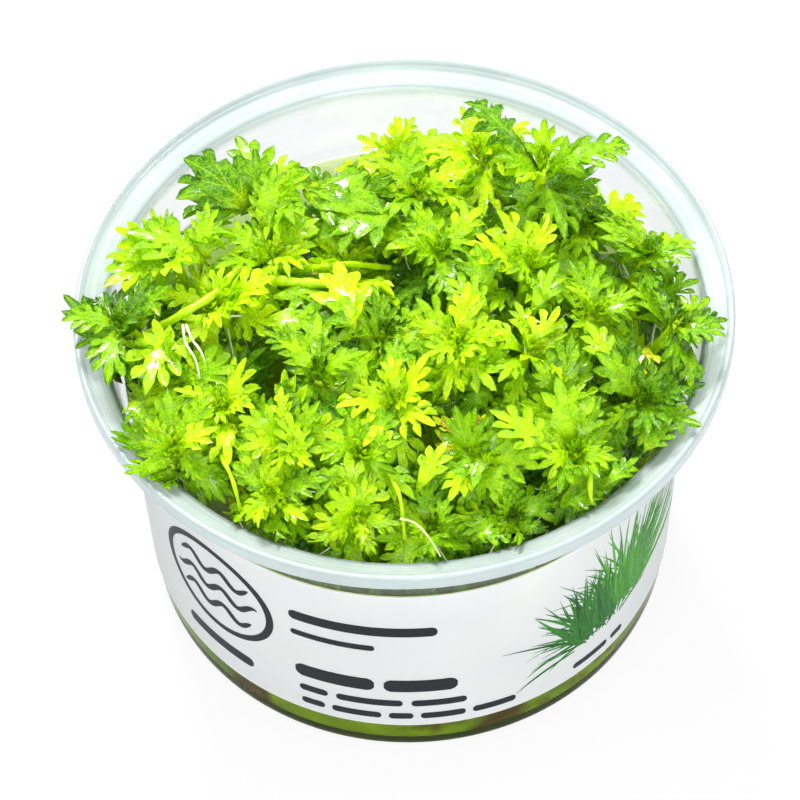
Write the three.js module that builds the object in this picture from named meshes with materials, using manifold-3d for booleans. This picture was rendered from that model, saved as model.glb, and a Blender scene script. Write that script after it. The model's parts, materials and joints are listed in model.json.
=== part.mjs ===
// A water violet grown in a clear plastic cup: cup, wrapped label, nutrient gel, stems and leaf rosettes.
// Millimetres, +Z up. The origin is the middle of the cup's flat base.
import * as THREE from 'three';
import { mergeVertices } from 'three/addons/utils/BufferGeometryUtils.js';
import Module from 'manifold-3d';

const wasm = await Module();
wasm.setup();

// Cup
const cupHeight = 61;
const rimRadius = 50;
const skirtDrop = 2.6;
const skirtThickness = 0.8;
const rimRounding = 0.5;
const lipRadius = 45.3;
const lipHeight = 58.5;
const wallThickness = 0.9;
const baseThickness = 1.1;
const baseRadius = 39.4;
const baseRounding = 2.6;
const wallRadiusLow = 41.85;
const wallRadiusHigh = 43.2;
const shoulderHeight = 49;
const shoulderRise = 2.2;
const shoulderStep = 1.7;
const turns = 36;

// Label
const labelLow = 8;
const labelHigh = 46.7;
const labelThickness = 0.3;

// Gel and the clearance between neighbours
const gelHeight = 13;
const gap = 0.3;
const mergeDistance = 1e-3;

// Stems
const stemRadius = 0.85;
const stemSides = 5;
const stemSteps = 2;
const stemFootDepth = 4;
const stemFootPull = 0.86;
const stemFootLimit = 37;
const forkAt = 0.45;
const bendShare = 0.5;

// Growing tip of a rosette
const tipRadius = 1.3;
const tipStretch = 1.7;

// Rosettes lean out more towards the wall, in degrees
const leanLeast = 6;
const leanGain = 30;

// Leaves, with their angles in degrees. Ranks run from 0 for the lowest leaf to 1 for the highest.
const leavesPerRosette = 5;
const leafHalfThickness = 0.5;
const goldenAngle = 137.508;
const riseLeast = 14;
const riseGain = 48;
const riseScatter = 14;
const droopLeast = 30;
const droopScatter = 30;
const rollScatter = 30;
const rankShortening = 0.28;
const lengthLeast = 0.92;
const lengthScatter = 0.2;
const stepDown = 1.6;
const wallClearance = 1.2;
const flangeClearance = 1.3;
const slideUp = 0.5;

// What a leaf tries where another is in its way: its share of length and how much steeper it rises
const leafTries = [[1, 0], [1, 14], [0.88, 0], [0.88, 14], [0.75, 8], [0.62, 8]];
const neighbourDistance = 34;

// Each row is one stem: where its rosettes stand (x, y), how far over the rim (z) and how long their leaves
// are. A leaf listed apart has the way it points, its length, its rise at the base and at the tip.
const shoots = [
  [{ at: [-41, -5, 2], leaf: 12 }, { at: [-34, -13, 0], leaf: 12.5 }],
  [{ at: [-35, 9, 1], leaf: 13 }, { at: [-28, 0, 0], leaf: 11.5 }],
  [
    { at: [-20, 20, 1], leaf: 12.5, apart: [[175, 15, 25, 5], [112, 12.5, 45, 15]] },
    { at: [-20, 9, 0], leaf: 11.5 },
  ],
  [{ at: [-8, 20, -2], leaf: 12 }, { at: [-9, 8, -4], leaf: 12.5 }],
  [{ at: [0, 33, -6], leaf: 11 }, { at: [3, 22, -1], leaf: 12.5 }],
  [{ at: [6, 9, 0], leaf: 12.5 }],
  [{ at: [13, 30, -3], leaf: 12.5 }],
  [{ at: [22, 20, 5], leaf: 12, apart: [[8, 14, 45, 16], [153, 17, 42, 10]] }],
  [{ at: [37, 6, 1], leaf: 11 }, { at: [29, 17, -4], leaf: 12.5 }],
  [{ at: [19, 4, 2], leaf: 12.5 }, { at: [28, -5, 1], leaf: 11.5 }],
  [{ at: [40, -8, 2], leaf: 10 }],
  [{ at: [18, -12, 2], leaf: 11.5 }, { at: [8, -10, 2], leaf: 11.5 }],
  [{ at: [-3, -8, 1], leaf: 12.5 }, { at: [-13, -15, 1], leaf: 12.5 }],
  [{ at: [22, -19, 0], leaf: 11.5 }, { at: [24, -29, 0], leaf: 11.5 }],
  [{ at: [34, -20, 0], leaf: 12 }],
  [{ at: [9, -30, 0], leaf: 11.5 }, { at: [14, -38, -3], leaf: 9.5 }],
  [{ at: [-2, -20, 1], leaf: 11.5 }],
  [{ at: [-7, -29, 1], leaf: 11.5 }, { at: [-8, -38, -2], leaf: 9.5 }],
  [{ at: [3, -39, -4], leaf: 9.5 }],
  [{ at: [-17, -26, 1], leaf: 11.5 }, { at: [-20, -34, -1], leaf: 10.5 }],
  [{ at: [-27, -20, 1], leaf: 11.5 }, { at: [-34, -26, 0], leaf: 11 }],
];

// Outlines of one leaf half, as shares of its length: along the leaf, then out from the midrib. Each group
// fans out from the midrib point that it starts with.
const wedgeLeaf = {
  fans: [
    { rib: 0.4, edge: [[0.58, 0.36], [0.65, 0.19]] },
    { rib: 0.72, edge: [[0.86, 0.34], [0.86, 0.14]] },
  ],
};
const longLeaf = {
  fans: [
    { rib: 0.3, edge: [[0.44, 0.2], [0.46, 0.1]] },
    { rib: 0.56, edge: [[0.7, 0.27], [0.7, 0.13]] },
    { rib: 0.78, edge: [[0.9, 0.21], [0.9, 0.09]] },
  ],
};

const radians = THREE.MathUtils.degToRad;

// Colours and finishes
const clearPlastic = new THREE.MeshStandardMaterial({ color: '#dbe9ec', roughness: 0.15 });
const labelPaper = new THREE.MeshStandardMaterial({ color: '#eef1f3', roughness: 0.55 });
const oliveGel = new THREE.MeshStandardMaterial({ color: '#6c7f38', roughness: 0.2 });
const stemGreen = new THREE.MeshStandardMaterial({ color: '#a8d020', roughness: 0.4 });
const leafGreen = new THREE.MeshStandardMaterial({ color: '#5fae08', roughness: 0.4, flatShading: true });

const part = new THREE.Group();

function addPiece(name, solid, material) {
  const mesh = new THREE.Mesh(geometryOf(solid), material);
  mesh.name = name;
  part.add(mesh);
}

// Solids for joining and cutting, and back to a mesh
function solidFrom(coordinates, corners) {
  const vertProperties = new Float32Array(coordinates);
  const triVerts = new Uint32Array(corners);
  return new wasm.Manifold(new wasm.Mesh({ numProp: 3, vertProperties, triVerts }));
}

function solidOf(geometry) {
  const bare = geometry.clone();
  bare.deleteAttribute('normal');
  bare.deleteAttribute('uv');
  const merged = mergeVertices(bare, mergeDistance);
  const corners = merged.index.array;
  const kept = [];
  for (let i = 0; i < corners.length; i += 3) {
    const [a, b, c] = corners.slice(i, i + 3);
    if (a !== b && b !== c && c !== a) {
      kept.push(a, b, c);
    }
  }
  return solidFrom(merged.attributes.position.array, kept);
}

function geometryOf(solid) {
  const { vertProperties, triVerts } = solid.getMesh();
  const geometry = new THREE.BufferGeometry();
  geometry.setAttribute('position', new THREE.BufferAttribute(vertProperties, 3));
  geometry.setIndex(new THREE.BufferAttribute(triVerts, 1));
  geometry.computeVertexNormals();
  return geometry;
}

function turned(profile) {
  const geometry = new THREE.LatheGeometry(profile.map(([r, z]) => new THREE.Vector2(r, z)), turns);
  geometry.rotateX(Math.PI / 2);
  return solidOf(geometry);
}

// The wall leans out a little between base and shoulder
function wallRadius(z) {
  const share = (z - baseRounding) / (shoulderHeight - baseRounding);
  return THREE.MathUtils.lerp(wallRadiusLow, wallRadiusHigh, share);
}

// Inner radius of the cup at a height
function innerRadius(z) {
  if (z < shoulderHeight) {
    return wallRadius(z) - wallThickness;
  }
  const top = shoulderHeight + shoulderRise;
  const shoulder = wallRadiusHigh + shoulderStep - wallThickness;
  if (z < top) {
    return shoulder - (shoulderStep * (top - z)) / shoulderRise;
  }
  return THREE.MathUtils.lerp(shoulder, lipRadius, Math.min((z - top) / (lipHeight - top), 1));
}

// Height of the flange's upper side at a radius
function flangeHeight(r) {
  return THREE.MathUtils.mapLinear(r, lipRadius, rimRadius - rimRounding, lipHeight, cupHeight);
}

function makeCup() {
  const shoulderTop = shoulderHeight + shoulderRise;
  const shoulderRadius = wallRadiusHigh + shoulderStep;
  const skirtLow = cupHeight - skirtDrop;
  const cornerCut = baseRounding * 0.3;
  return turned([
    [0, 0],
    [baseRadius, 0],
    [wallRadiusLow - cornerCut, cornerCut],
    [wallRadiusLow, baseRounding],
    [wallRadiusHigh, shoulderHeight],
    [shoulderRadius, shoulderTop],
    [lipRadius + wallThickness, lipHeight - wallThickness],
    [rimRadius - skirtThickness, flangeHeight(rimRadius - skirtThickness) - wallThickness],
    [rimRadius - skirtThickness, skirtLow],
    [rimRadius, skirtLow],
    [rimRadius, cupHeight - rimRounding],
    [rimRadius - rimRounding, cupHeight],
    [lipRadius, lipHeight],
    [shoulderRadius - wallThickness, shoulderTop],
    [wallRadiusHigh - wallThickness, shoulderHeight],
    [wallRadiusLow - wallThickness, baseRounding],
    [baseRadius, baseThickness],
    [0, baseThickness],
  ]);
}

function makeLabel() {
  const inside = (z) => wallRadius(z) + gap;
  return turned([
    [inside(labelLow), labelLow],
    [inside(labelLow) + labelThickness, labelLow],
    [inside(labelHigh) + labelThickness, labelHigh],
    [inside(labelHigh), labelHigh],
    [inside(labelLow), labelLow],
  ]);
}

function makeGel() {
  const low = baseThickness + gap;
  const lowRadius = baseRadius - gap;
  const cornerHeight = baseRounding + gap;
  return turned([
    [0, low],
    [lowRadius, low],
    [wallRadius(cornerHeight) - wallThickness - gap, cornerHeight],
    [wallRadius(gelHeight) - wallThickness - gap, gelHeight],
    [0, gelHeight],
  ]);
}

// A repeatable scatter between 0 and 1 for one trait of one leaf of one rosette
const traits = ['length', 'rise', 'droop', 'roll', 'way'];
const scatterSteps = { rosette: 12.9898, leaf: 78.233, trait: 37.719, spread: 43758.5453 };

function scatter(rosette, leaf, trait) {
  const { rosette: byRosette, leaf: byLeaf, trait: byTrait, spread } = scatterSteps;
  const value = Math.sin(rosette * byRosette + leaf * byLeaf + traits.indexOf(trait) * byTrait) * spread;
  return value - Math.floor(value);
}

// Rosettes near the wall lean out over it, and those in the middle stand up
function rosetteAxis([x, y]) {
  const lean = radians(leanLeast + leanGain * (Math.hypot(x, y) / rimRadius) ** 2);
  const towards = Math.atan2(y, x);
  return new THREE.Vector3(
    Math.sin(lean) * Math.cos(towards),
    Math.sin(lean) * Math.sin(towards),
    Math.cos(lean),
  );
}

function rosetteCentre([x, y, z]) {
  return new THREE.Vector3(x, y, cupHeight + z);
}

// The leaves of one rosette, lowest and longest first
function leavesOf(rosette, index) {
  const leaves = [];
  for (const [way, length, rise, tipRise] of rosette.apart ?? []) {
    leaves.push({ way, length, rise, tipRise, step: 0, roll: 0, outline: longLeaf });
  }
  const count = leavesPerRosette - leaves.length;
  for (let k = 0; k < count; k += 1) {
    const rank = k / (leavesPerRosette - 1);
    const rise = riseLeast + riseGain * rank + riseScatter * scatter(index, k, 'rise');
    const byChance = lengthLeast + lengthScatter * scatter(index, k, 'length');
    leaves.push({
      way: 360 * scatter(index, 0, 'way') + k * goldenAngle,
      length: rosette.leaf * byChance * (1 - rankShortening * rank),
      rise,
      tipRise: rise - droopLeast - droopScatter * scatter(index, k, 'droop'),
      step: stepDown * (1 - rank),
      roll: rollScatter * (scatter(index, k, 'roll') - 0.5),
      outline: wedgeLeaf,
    });
  }
  return leaves;
}

// A point that would pass through the wall slides up along it, and one over the flange lies on it
function keepClear(point) {
  const r = Math.hypot(point.x, point.y);
  const limit = innerRadius(point.z) - wallClearance;
  if (point.z >= lipHeight - 1) {
    if (r > lipRadius - wallClearance) {
      point.z = Math.max(point.z, flangeHeight(Math.max(r, lipRadius)) + flangeClearance);
    }
  } else if (r > limit) {
    point.z += slideUp * (r - limit);
    point.x *= limit / r;
    point.y *= limit / r;
  }
  return point;
}

// One leaf: a bent, lobed blade with sharp edges and a midrib that stands proud on both sides
function makeLeaf(centre, axis, leaf, grow = 0) {
  const side = axis.clone().cross(new THREE.Vector3(1, 0, 0)).normalize();
  const front = side.clone().cross(axis);
  const way = radians(leaf.way);
  const out = front.clone().multiplyScalar(Math.cos(way)).addScaledVector(side, Math.sin(way));
  const across = axis.clone().cross(out);
  const rise = radians(leaf.rise);
  const bend = radians(leaf.tipRise - leaf.rise);
  const roll = Math.tan(radians(leaf.roll));
  const place = (along, width, lift) => {
    const reach = (leaf.length * (Math.sin(rise + bend * along) - Math.sin(rise))) / bend;
    const climb = (-leaf.length * (Math.cos(rise + bend * along) - Math.cos(rise))) / bend;
    const slope = rise + bend * along;
    const point = centre.clone().addScaledVector(axis, climb - leaf.step);
    point.addScaledVector(out, reach).addScaledVector(across, width);
    point.addScaledVector(axis, width * roll + lift * Math.cos(slope));
    point.addScaledVector(out, -lift * Math.sin(slope));
    return keepClear(point);
  };
  const points = [];
  const triangles = [];
  const edgePoint = ([along, width], hand) => {
    const spread = hand * (width * leaf.length + grow);
    points.push(place(along, spread, 0));
    return points.length - 1;
  };
  const { fans } = leaf.outline;
  const root = 0;
  const tip = 1;
  points.push(place(0, 0, 0), place(1 + grow / leaf.length, 0, 0));
  const ribs = fans.map(({ rib }) => {
    points.push(place(rib, 0, leafHalfThickness + grow), place(rib, 0, -leafHalfThickness - grow));
    return [points.length - 2, points.length - 1];
  });
  const face = (a, b, c, over) => triangles.push(...(over ? [a, b, c] : [a, c, b]));
  for (const hand of [1, -1]) {
    let previous = root;
    fans.forEach(({ edge }, fan) => {
      for (const spot of fan + 1 < fans.length ? edge : [...edge, null]) {
        const next = spot ? edgePoint(spot, hand) : tip;
        face(ribs[fan][0], previous, next, hand < 0);
        face(ribs[fan][1], previous, next, hand > 0);
        previous = next;
      }
      if (fan + 1 < fans.length) {
        face(ribs[fan][0], previous, ribs[fan + 1][0], hand < 0);
        face(ribs[fan][1], previous, ribs[fan + 1][1], hand > 0);
      }
    });
  }
  return solidFrom(points.flatMap((point) => point.toArray()), triangles);
}

function makeTip(centre, axis, grow = 0) {
  const geometry = new THREE.OctahedronGeometry(tipRadius + grow);
  geometry.scale(1, 1, tipStretch);
  const turn = new THREE.Quaternion().setFromUnitVectors(new THREE.Vector3(0, 0, 1), axis);
  geometry.applyQuaternion(turn);
  geometry.translate(centre.x, centre.y, centre.z);
  return solidOf(geometry);
}

function makeTube(curve, radius) {
  const section = new THREE.Shape();
  for (let i = 0; i < stemSides; i += 1) {
    const turn = (2 * Math.PI * i) / stemSides;
    const [x, y] = [radius * Math.cos(turn), radius * Math.sin(turn)];
    if (i === 0) {
      section.moveTo(x, y);
    } else {
      section.lineTo(x, y);
    }
  }
  return solidOf(new THREE.ExtrudeGeometry(section, { steps: stemSteps, extrudePath: curve }));
}

// A stem rises from the gel and bends into its rosette. The second rosette's branch leaves it part way up.
function makeStem(shoot, radius) {
  const below = -tipRadius * tipStretch - gap;
  const stemEnd = ({ at }) => rosetteCentre(at).addScaledVector(rosetteAxis(at), below);
  const [main, branch] = shoot;
  const [x, y] = main.at;
  const pull = Math.min(stemFootPull, stemFootLimit / Math.hypot(x, y));
  const foot = new THREE.Vector3(x * pull, y * pull, gelHeight - stemFootDepth);
  const end = stemEnd(main);
  const bendAt = end.clone().addScaledVector(rosetteAxis(main.at), -(end.z - foot.z) * bendShare);
  const curve = new THREE.QuadraticBezierCurve3(foot, keepClear(bendAt), end);
  let stem = makeTube(curve, radius);
  if (branch) {
    const branchEnd = stemEnd(branch);
    const start = curve.getPoint(forkAt);
    const drop = (branchEnd.z - start.z) * bendShare;
    const elbow = branchEnd.clone().addScaledVector(rosetteAxis(branch.at), -drop);
    const branchCurve = new THREE.QuadraticBezierCurve3(start, keepClear(elbow), branchEnd);
    stem = stem.add(makeTube(branchCurve, radius));
  }
  return stem;
}

function largestOf(solid) {
  const bodies = solid.decompose();
  return bodies.reduce((best, body) => (body.volume() > best.volume() ? body : best));
}

function touches(solid, others) {
  return others.some((other) => solid.intersect(other).volume() > 0);
}

// Every leaf is grown in turn, lowest leaves first, and is shortened where another is in its way
function growRosettes() {
  const rosettes = [];
  shoots.forEach((shoot, stemIndex) => {
    for (const rosette of shoot) {
      const index = rosettes.length + 1;
      const axis = rosetteAxis(rosette.at);
      const centre = rosetteCentre(rosette.at);
      rosettes.push({
        centre,
        axis,
        stemIndex,
        leaves: leavesOf(rosette, index),
        solid: makeTip(centre, axis),
        fat: [makeTip(centre, axis, gap)],
      });
    }
  });
  const fatStems = shoots.map((shoot) => makeStem(shoot, stemRadius + gap));
  for (let k = 0; k < leavesPerRosette; k += 1) {
    for (const rosette of rosettes) {
      const near = (other) => other.centre.distanceTo(rosette.centre) < neighbourDistance;
      const others = rosettes.filter((other) => other !== rosette && near(other));
      const inTheWay = others.flatMap((other) => other.fat);
      inTheWay.push(...fatStems.filter((_, stemIndex) => stemIndex !== rosette.stemIndex));
      for (const [share, lift] of leafTries) {
        const first = rosette.leaves[k];
        const leaf = { ...first, length: first.length * share, rise: first.rise + lift };
        const solid = makeLeaf(rosette.centre, rosette.axis, leaf);
        if (!touches(solid, inTheWay)) {
          rosette.solid = rosette.solid.add(solid);
          rosette.fat.push(makeLeaf(rosette.centre, rosette.axis, leaf, gap));
          break;
        }
      }
    }
  }
  return rosettes.map((rosette) => {
    const cut = largestOf(rosette.solid.subtract(fatStems[rosette.stemIndex]));
    return largestOf(solidOf(geometryOf(cut)));
  });
}

const twoDigits = (number) => String(number).padStart(2, '0');

addPiece('cup', makeCup(), clearPlastic);
addPiece('label', makeLabel(), labelPaper);

let gel = makeGel();
for (const shoot of shoots) {
  gel = gel.subtract(makeStem(shoot, stemRadius + gap));
}
addPiece('nutrient_gel', gel, oliveGel);

shoots.forEach((shoot, i) => addPiece(`stem_${twoDigits(i + 1)}`, makeStem(shoot, stemRadius), stemGreen));
growRosettes().forEach((solid, i) => addPiece(`leaf_rosette_${twoDigits(i + 1)}`, solid, leafGreen));

export default part;
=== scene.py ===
# Water violet grown in a clear plastic cup with a wrapped label. Blender works in metres, and the sizes
# below are in millimetres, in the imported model's own frame: +Z up, the origin under the middle of the base.
import json
import math

import bmesh
import bpy
import numpy as np
from mathutils import Matrix, Vector

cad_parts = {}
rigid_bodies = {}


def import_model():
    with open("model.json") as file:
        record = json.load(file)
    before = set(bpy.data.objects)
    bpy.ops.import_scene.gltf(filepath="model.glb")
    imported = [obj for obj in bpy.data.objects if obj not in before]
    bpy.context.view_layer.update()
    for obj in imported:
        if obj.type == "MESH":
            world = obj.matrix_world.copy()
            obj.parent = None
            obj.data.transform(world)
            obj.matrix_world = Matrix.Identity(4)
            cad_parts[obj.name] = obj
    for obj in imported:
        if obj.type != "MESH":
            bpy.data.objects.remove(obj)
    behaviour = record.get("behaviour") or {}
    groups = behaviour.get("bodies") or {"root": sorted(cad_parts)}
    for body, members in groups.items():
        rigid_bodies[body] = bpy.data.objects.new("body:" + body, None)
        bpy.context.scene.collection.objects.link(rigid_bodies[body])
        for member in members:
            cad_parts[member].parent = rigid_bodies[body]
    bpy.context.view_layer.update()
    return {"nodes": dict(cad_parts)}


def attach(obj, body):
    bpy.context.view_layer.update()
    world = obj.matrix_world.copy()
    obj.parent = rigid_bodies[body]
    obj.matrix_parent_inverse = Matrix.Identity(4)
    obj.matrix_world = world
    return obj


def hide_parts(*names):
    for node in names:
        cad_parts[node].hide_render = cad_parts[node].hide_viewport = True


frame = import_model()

mm = 0.001
scene = bpy.context.scene
print("frame loaded:", len(frame["nodes"]), "nodes")


# Small helpers

def linearColour(hexColour):
    channels = [int(hexColour[i:i + 2], 16) / 255 for i in (1, 3, 5)]
    return [c / 12.92 if c <= 0.04045 else ((c + 0.055) / 1.055) ** 2.4 for c in channels] + [1.0]


# Adds a node. Its inputs may be numbers, hex colours, other nodes (their first output) or sockets.
def addNode(tree, kind, settings=None, inputs=None):
    node = tree.nodes.new(kind)
    for name, value in (settings or {}).items():
        if name == "stops":
            stops = node.color_ramp.elements
            while len(stops) < len(value):
                stops.new(0.5)
            for stop, (position, colour) in zip(stops, value):
                stop.position = position
                stop.color = linearColour(colour)
        else:
            setattr(node, name, value)
    for socket, value in (inputs or {}).items():
        target = node.inputs[socket]
        if isinstance(value, bpy.types.Node):
            tree.links.new(value.outputs[0], target)
        elif isinstance(value, bpy.types.NodeSocket):
            tree.links.new(value, target)
        elif isinstance(value, str) and value.startswith("#"):
            target.default_value = linearColour(value)
        else:
            target.default_value = value
    return node


# The nodes used most, each giving back the socket of its result
def maths(tree, operation, *values, clamp=False):
    settings = {"operation": operation, "use_clamp": clamp}
    return addNode(tree, "ShaderNodeMath", settings, dict(enumerate(values))).outputs[0]


def remap(tree, value, fromMin=0.0, fromMax=1.0, toMin=0.0, toMax=1.0):
    limits = {"From Min": fromMin, "From Max": fromMax, "To Min": toMin, "To Max": toMax}
    return addNode(tree, "ShaderNodeMapRange", None, {"Value": value, **limits}).outputs["Result"]


def remapMm(tree, value, limits, toMax=1.0):
    return remap(tree, value, limits[0] * mm, limits[1] * mm, 0.0, toMax)


def noise(tree, place, scale, detail=2.0, roughness=0.5):
    inputs = {"Vector": place, "Scale": scale, "Detail": detail, "Roughness": roughness}
    return addNode(tree, "ShaderNodeTexNoise", None, inputs).outputs["Fac"]


def ramp(tree, share, *stops):
    return addNode(tree, "ShaderNodeValToRGB", {"stops": stops}, {"Fac": share}).outputs["Color"]


def blend(tree, share, first, second):
    return addNode(tree, "ShaderNodeMix", {"data_type": "RGBA"}, {0: share, 6: first, 7: second}).outputs[2]


def attribute(tree, name):
    return addNode(tree, "ShaderNodeAttribute", {"attribute_name": name}).outputs["Fac"]


def bumps(tree, height, strength, distanceMm):
    inputs = {"Height": height, "Strength": strength, "Distance": distanceMm * mm}
    return addNode(tree, "ShaderNodeBump", None, inputs).outputs["Normal"]


def principled(tree, inputs):
    return addNode(tree, "ShaderNodeBsdfPrincipled", None, inputs).outputs["BSDF"]


def mixShaders(tree, share, first, second):
    return addNode(tree, "ShaderNodeMixShader", None, {0: share, 1: first, 2: second}).outputs[0]


def vectorMaths(tree, operation, *values):
    settings = {"operation": operation}
    return addNode(tree, "ShaderNodeVectorMath", settings, dict(enumerate(values))).outputs


def heightOf(tree, place):
    return addNode(tree, "ShaderNodeSeparateXYZ", None, {0: place}).outputs["Z"]


def show(tree, surface):
    addNode(tree, "ShaderNodeOutputMaterial", None, {"Surface": surface})


# A surface that also lets a share of the light through to its other side
def letThrough(tree, share, shader, colour, normal=None):
    inputs = {"Color": colour} if normal is None else {"Color": colour, "Normal": normal}
    return mixShaders(tree, share, shader, addNode(tree, "ShaderNodeBsdfTranslucent", None, inputs))


# A material, its tree and the socket of the piece's own coordinates, which are metres in the shared frame
def newMaterial(name):
    material = bpy.data.materials.new(name)
    material.use_nodes = True
    tree = material.node_tree
    tree.nodes.clear()
    return material, tree, addNode(tree, "ShaderNodeTexCoord").outputs["Object"]


def newPiece(name, mesh, material=None):
    piece = bpy.data.objects.new(name, mesh)
    scene.collection.objects.link(piece)
    if material is not None:
        mesh.materials.clear()
        mesh.materials.append(material)
    return piece


def newMesh(name, pointsMm, faces, edges=()):
    mesh = bpy.data.meshes.new(name)
    mesh.from_pydata([tuple(float(c) * mm for c in point) for point in pointsMm], list(edges), faces)
    return mesh


def setValues(mesh, name, values, kind="FLOAT", domain="POINT"):
    field = "vector" if kind == "FLOAT_VECTOR" else "value"
    mesh.attributes.new(name, kind, domain).data.foreach_set(field, values)


def smooth(mesh, sharpAngle=40):
    mesh.shade_smooth()
    mesh.set_sharp_from_angle(angle=math.radians(sharpAngle))


# A geometry node tree with named inputs, and below it the modifier that runs it on a seed mesh
def newTree(name, inputs):
    tree = bpy.data.node_groups.new(name, "GeometryNodeTree")
    tree.interface.new_socket("Geometry", in_out="INPUT", socket_type="NodeSocketGeometry")
    for inputName, kind in inputs.items():
        tree.interface.new_socket(inputName, in_out="INPUT", socket_type="NodeSocket" + kind)
    tree.interface.new_socket("Geometry", in_out="OUTPUT", socket_type="NodeSocketGeometry")
    return tree, addNode(tree, "NodeGroupInput").outputs


def readAttribute(tree, kind, name):
    return addNode(tree, "GeometryNodeInputNamedAttribute", {"data_type": kind}, {"Name": name})


def finishTree(tree, geometry, material):
    shown = addNode(tree, "GeometryNodeSetMaterial", None, {"Geometry": geometry, "Material": material})
    addNode(tree, "NodeGroupOutput", None, {"Geometry": shown})
    return tree


def grow(name, seedMesh, tree, values):
    seed = newPiece(name + "Seed", seedMesh)
    modifier = seed.modifiers.new("grow", "NODES")
    modifier.node_group = tree
    for item in tree.interface.items_tree:
        if item.in_out == "INPUT" and item.name in values:
            modifier[item.identifier] = values[item.name]
    depsgraph = bpy.context.evaluated_depsgraph_get()
    mesh = bpy.data.meshes.new_from_object(
        seed.evaluated_get(depsgraph), preserve_all_data_layers=True, depsgraph=depsgraph)
    mesh.name = name
    seed.modifiers.clear()
    bpy.data.objects.remove(seed)
    return mesh


# Cup form

cup = {
    "height": 61, "rimRadius": 50, "skirtDrop": 2.6, "skirtThickness": 0.8, "rimRounding": 0.5,
    "lipRadius": 45.3, "lipHeight": 58.5, "wall": 0.9,
    "baseThickness": 1.1, "baseRadius": 39.4, "baseRounding": 2.6,
    "wallLow": 41.85, "wallHigh": 43.2, "shoulderHeight": 49, "shoulderRise": 2.2, "shoulderStep": 1.7,
    "footInner": 36.5, "footOuter": 37.2, "footRise": 0.35,  # the ring that the cup stands on
    "footSlope": (0.35, 0.9),  # a point between base and wall: how far inside the wall, and its height
    "bead": [(48.4, -0.1), (47.9, -0.28)],  # radius and drop of the shallow step in the flange
    "turns": 160,
    # where one look of the plastic gives way to the next: two heights, or two radii for the edge
    "rimZone": (56.5, 58), "crestZone": (60.3, 60.6), "edgeZone": (48.9, 49.4), "gelZone": (8.3, 7.7),
    "footZone": (1.9, 1.2), "lipLineRadius": 45.7, "lipLineFade": (0.35, 0.1),
}


def wallRadius(z):
    share = (z - cup["baseRounding"]) / (cup["shoulderHeight"] - cup["baseRounding"])
    return cup["wallLow"] + share * (cup["wallHigh"] - cup["wallLow"])


def innerRadius(z):
    top = cup["shoulderHeight"] + cup["shoulderRise"]
    shoulder = cup["wallHigh"] + cup["shoulderStep"] - cup["wall"]
    rising = shoulder - cup["shoulderStep"] * (top - z) / cup["shoulderRise"]
    share = np.clip((z - top) / (cup["lipHeight"] - top), 0, 1)
    above = shoulder + share * (cup["lipRadius"] - shoulder)
    return np.where(z < cup["shoulderHeight"], wallRadius(z) - cup["wall"], np.where(z < top, rising, above))


def flangeHeight(r):
    outer = cup["rimRadius"] - cup["rimRounding"]
    share = (r - cup["lipRadius"]) / (outer - cup["lipRadius"])
    return cup["lipHeight"] + share * (cup["height"] - cup["lipHeight"])


# Where a curve pulled from start to end by a bend is at the share t
def arcPoint(start, bend, end, t):
    return start.lerp(bend, t).lerp(bend.lerp(end, t), t)


# Rounds the corners of a profile given as (radius, height, rounding)
def softProfile(corners, closed=False, steps=4):
    profile = []
    count = len(corners)
    for i, (r, z, rounding) in enumerate(corners):
        here = Vector((r, z))
        if rounding == 0 or (not closed and i in (0, count - 1)):
            profile.append(here)
            continue
        before = Vector(corners[i - 1][:2]) - here
        after = Vector(corners[(i + 1) % count][:2]) - here
        reach = min(rounding, before.length * 0.48, after.length * 0.48)  # neighbours must not meet
        start, end = here + before.normalized() * reach, here + after.normalized() * reach
        profile += [arcPoint(start, here, end, step / steps) for step in range(steps + 1)]
    return profile


# Turns a profile round the axis. Points on the axis are shared, and a closed profile makes a ring.
def turnedMesh(name, profile, turns, closed=False):
    points, rows = [], []
    for r, z in profile:
        if r < 1e-6:
            rows.append([len(points)] * turns)
            points.append((0, 0, z))
        else:
            rows.append(list(range(len(points), len(points) + turns)))
            angles = [2 * math.pi * step / turns for step in range(turns)]
            points += [(r * math.cos(angle), r * math.sin(angle), z) for angle in angles]
    faces = []
    pairs = list(zip(rows, rows[1:])) + ([(rows[-1], rows[0])] if closed else [])
    for low, high in pairs:
        for step in range(turns):
            after = (step + 1) % turns
            corners = [low[step], low[after], high[after], high[step]]
            corners = [c for i, c in enumerate(corners) if c != corners[i - 1]]
            if len(corners) > 2:
                faces.append(corners)
    mesh = newMesh(name, points, faces)
    recalculated = bmesh.new()
    recalculated.from_mesh(mesh)
    bmesh.ops.recalc_face_normals(recalculated, faces=recalculated.faces)
    recalculated.to_mesh(mesh)
    recalculated.free()
    smooth(mesh)
    return mesh


# Clear cup

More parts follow.
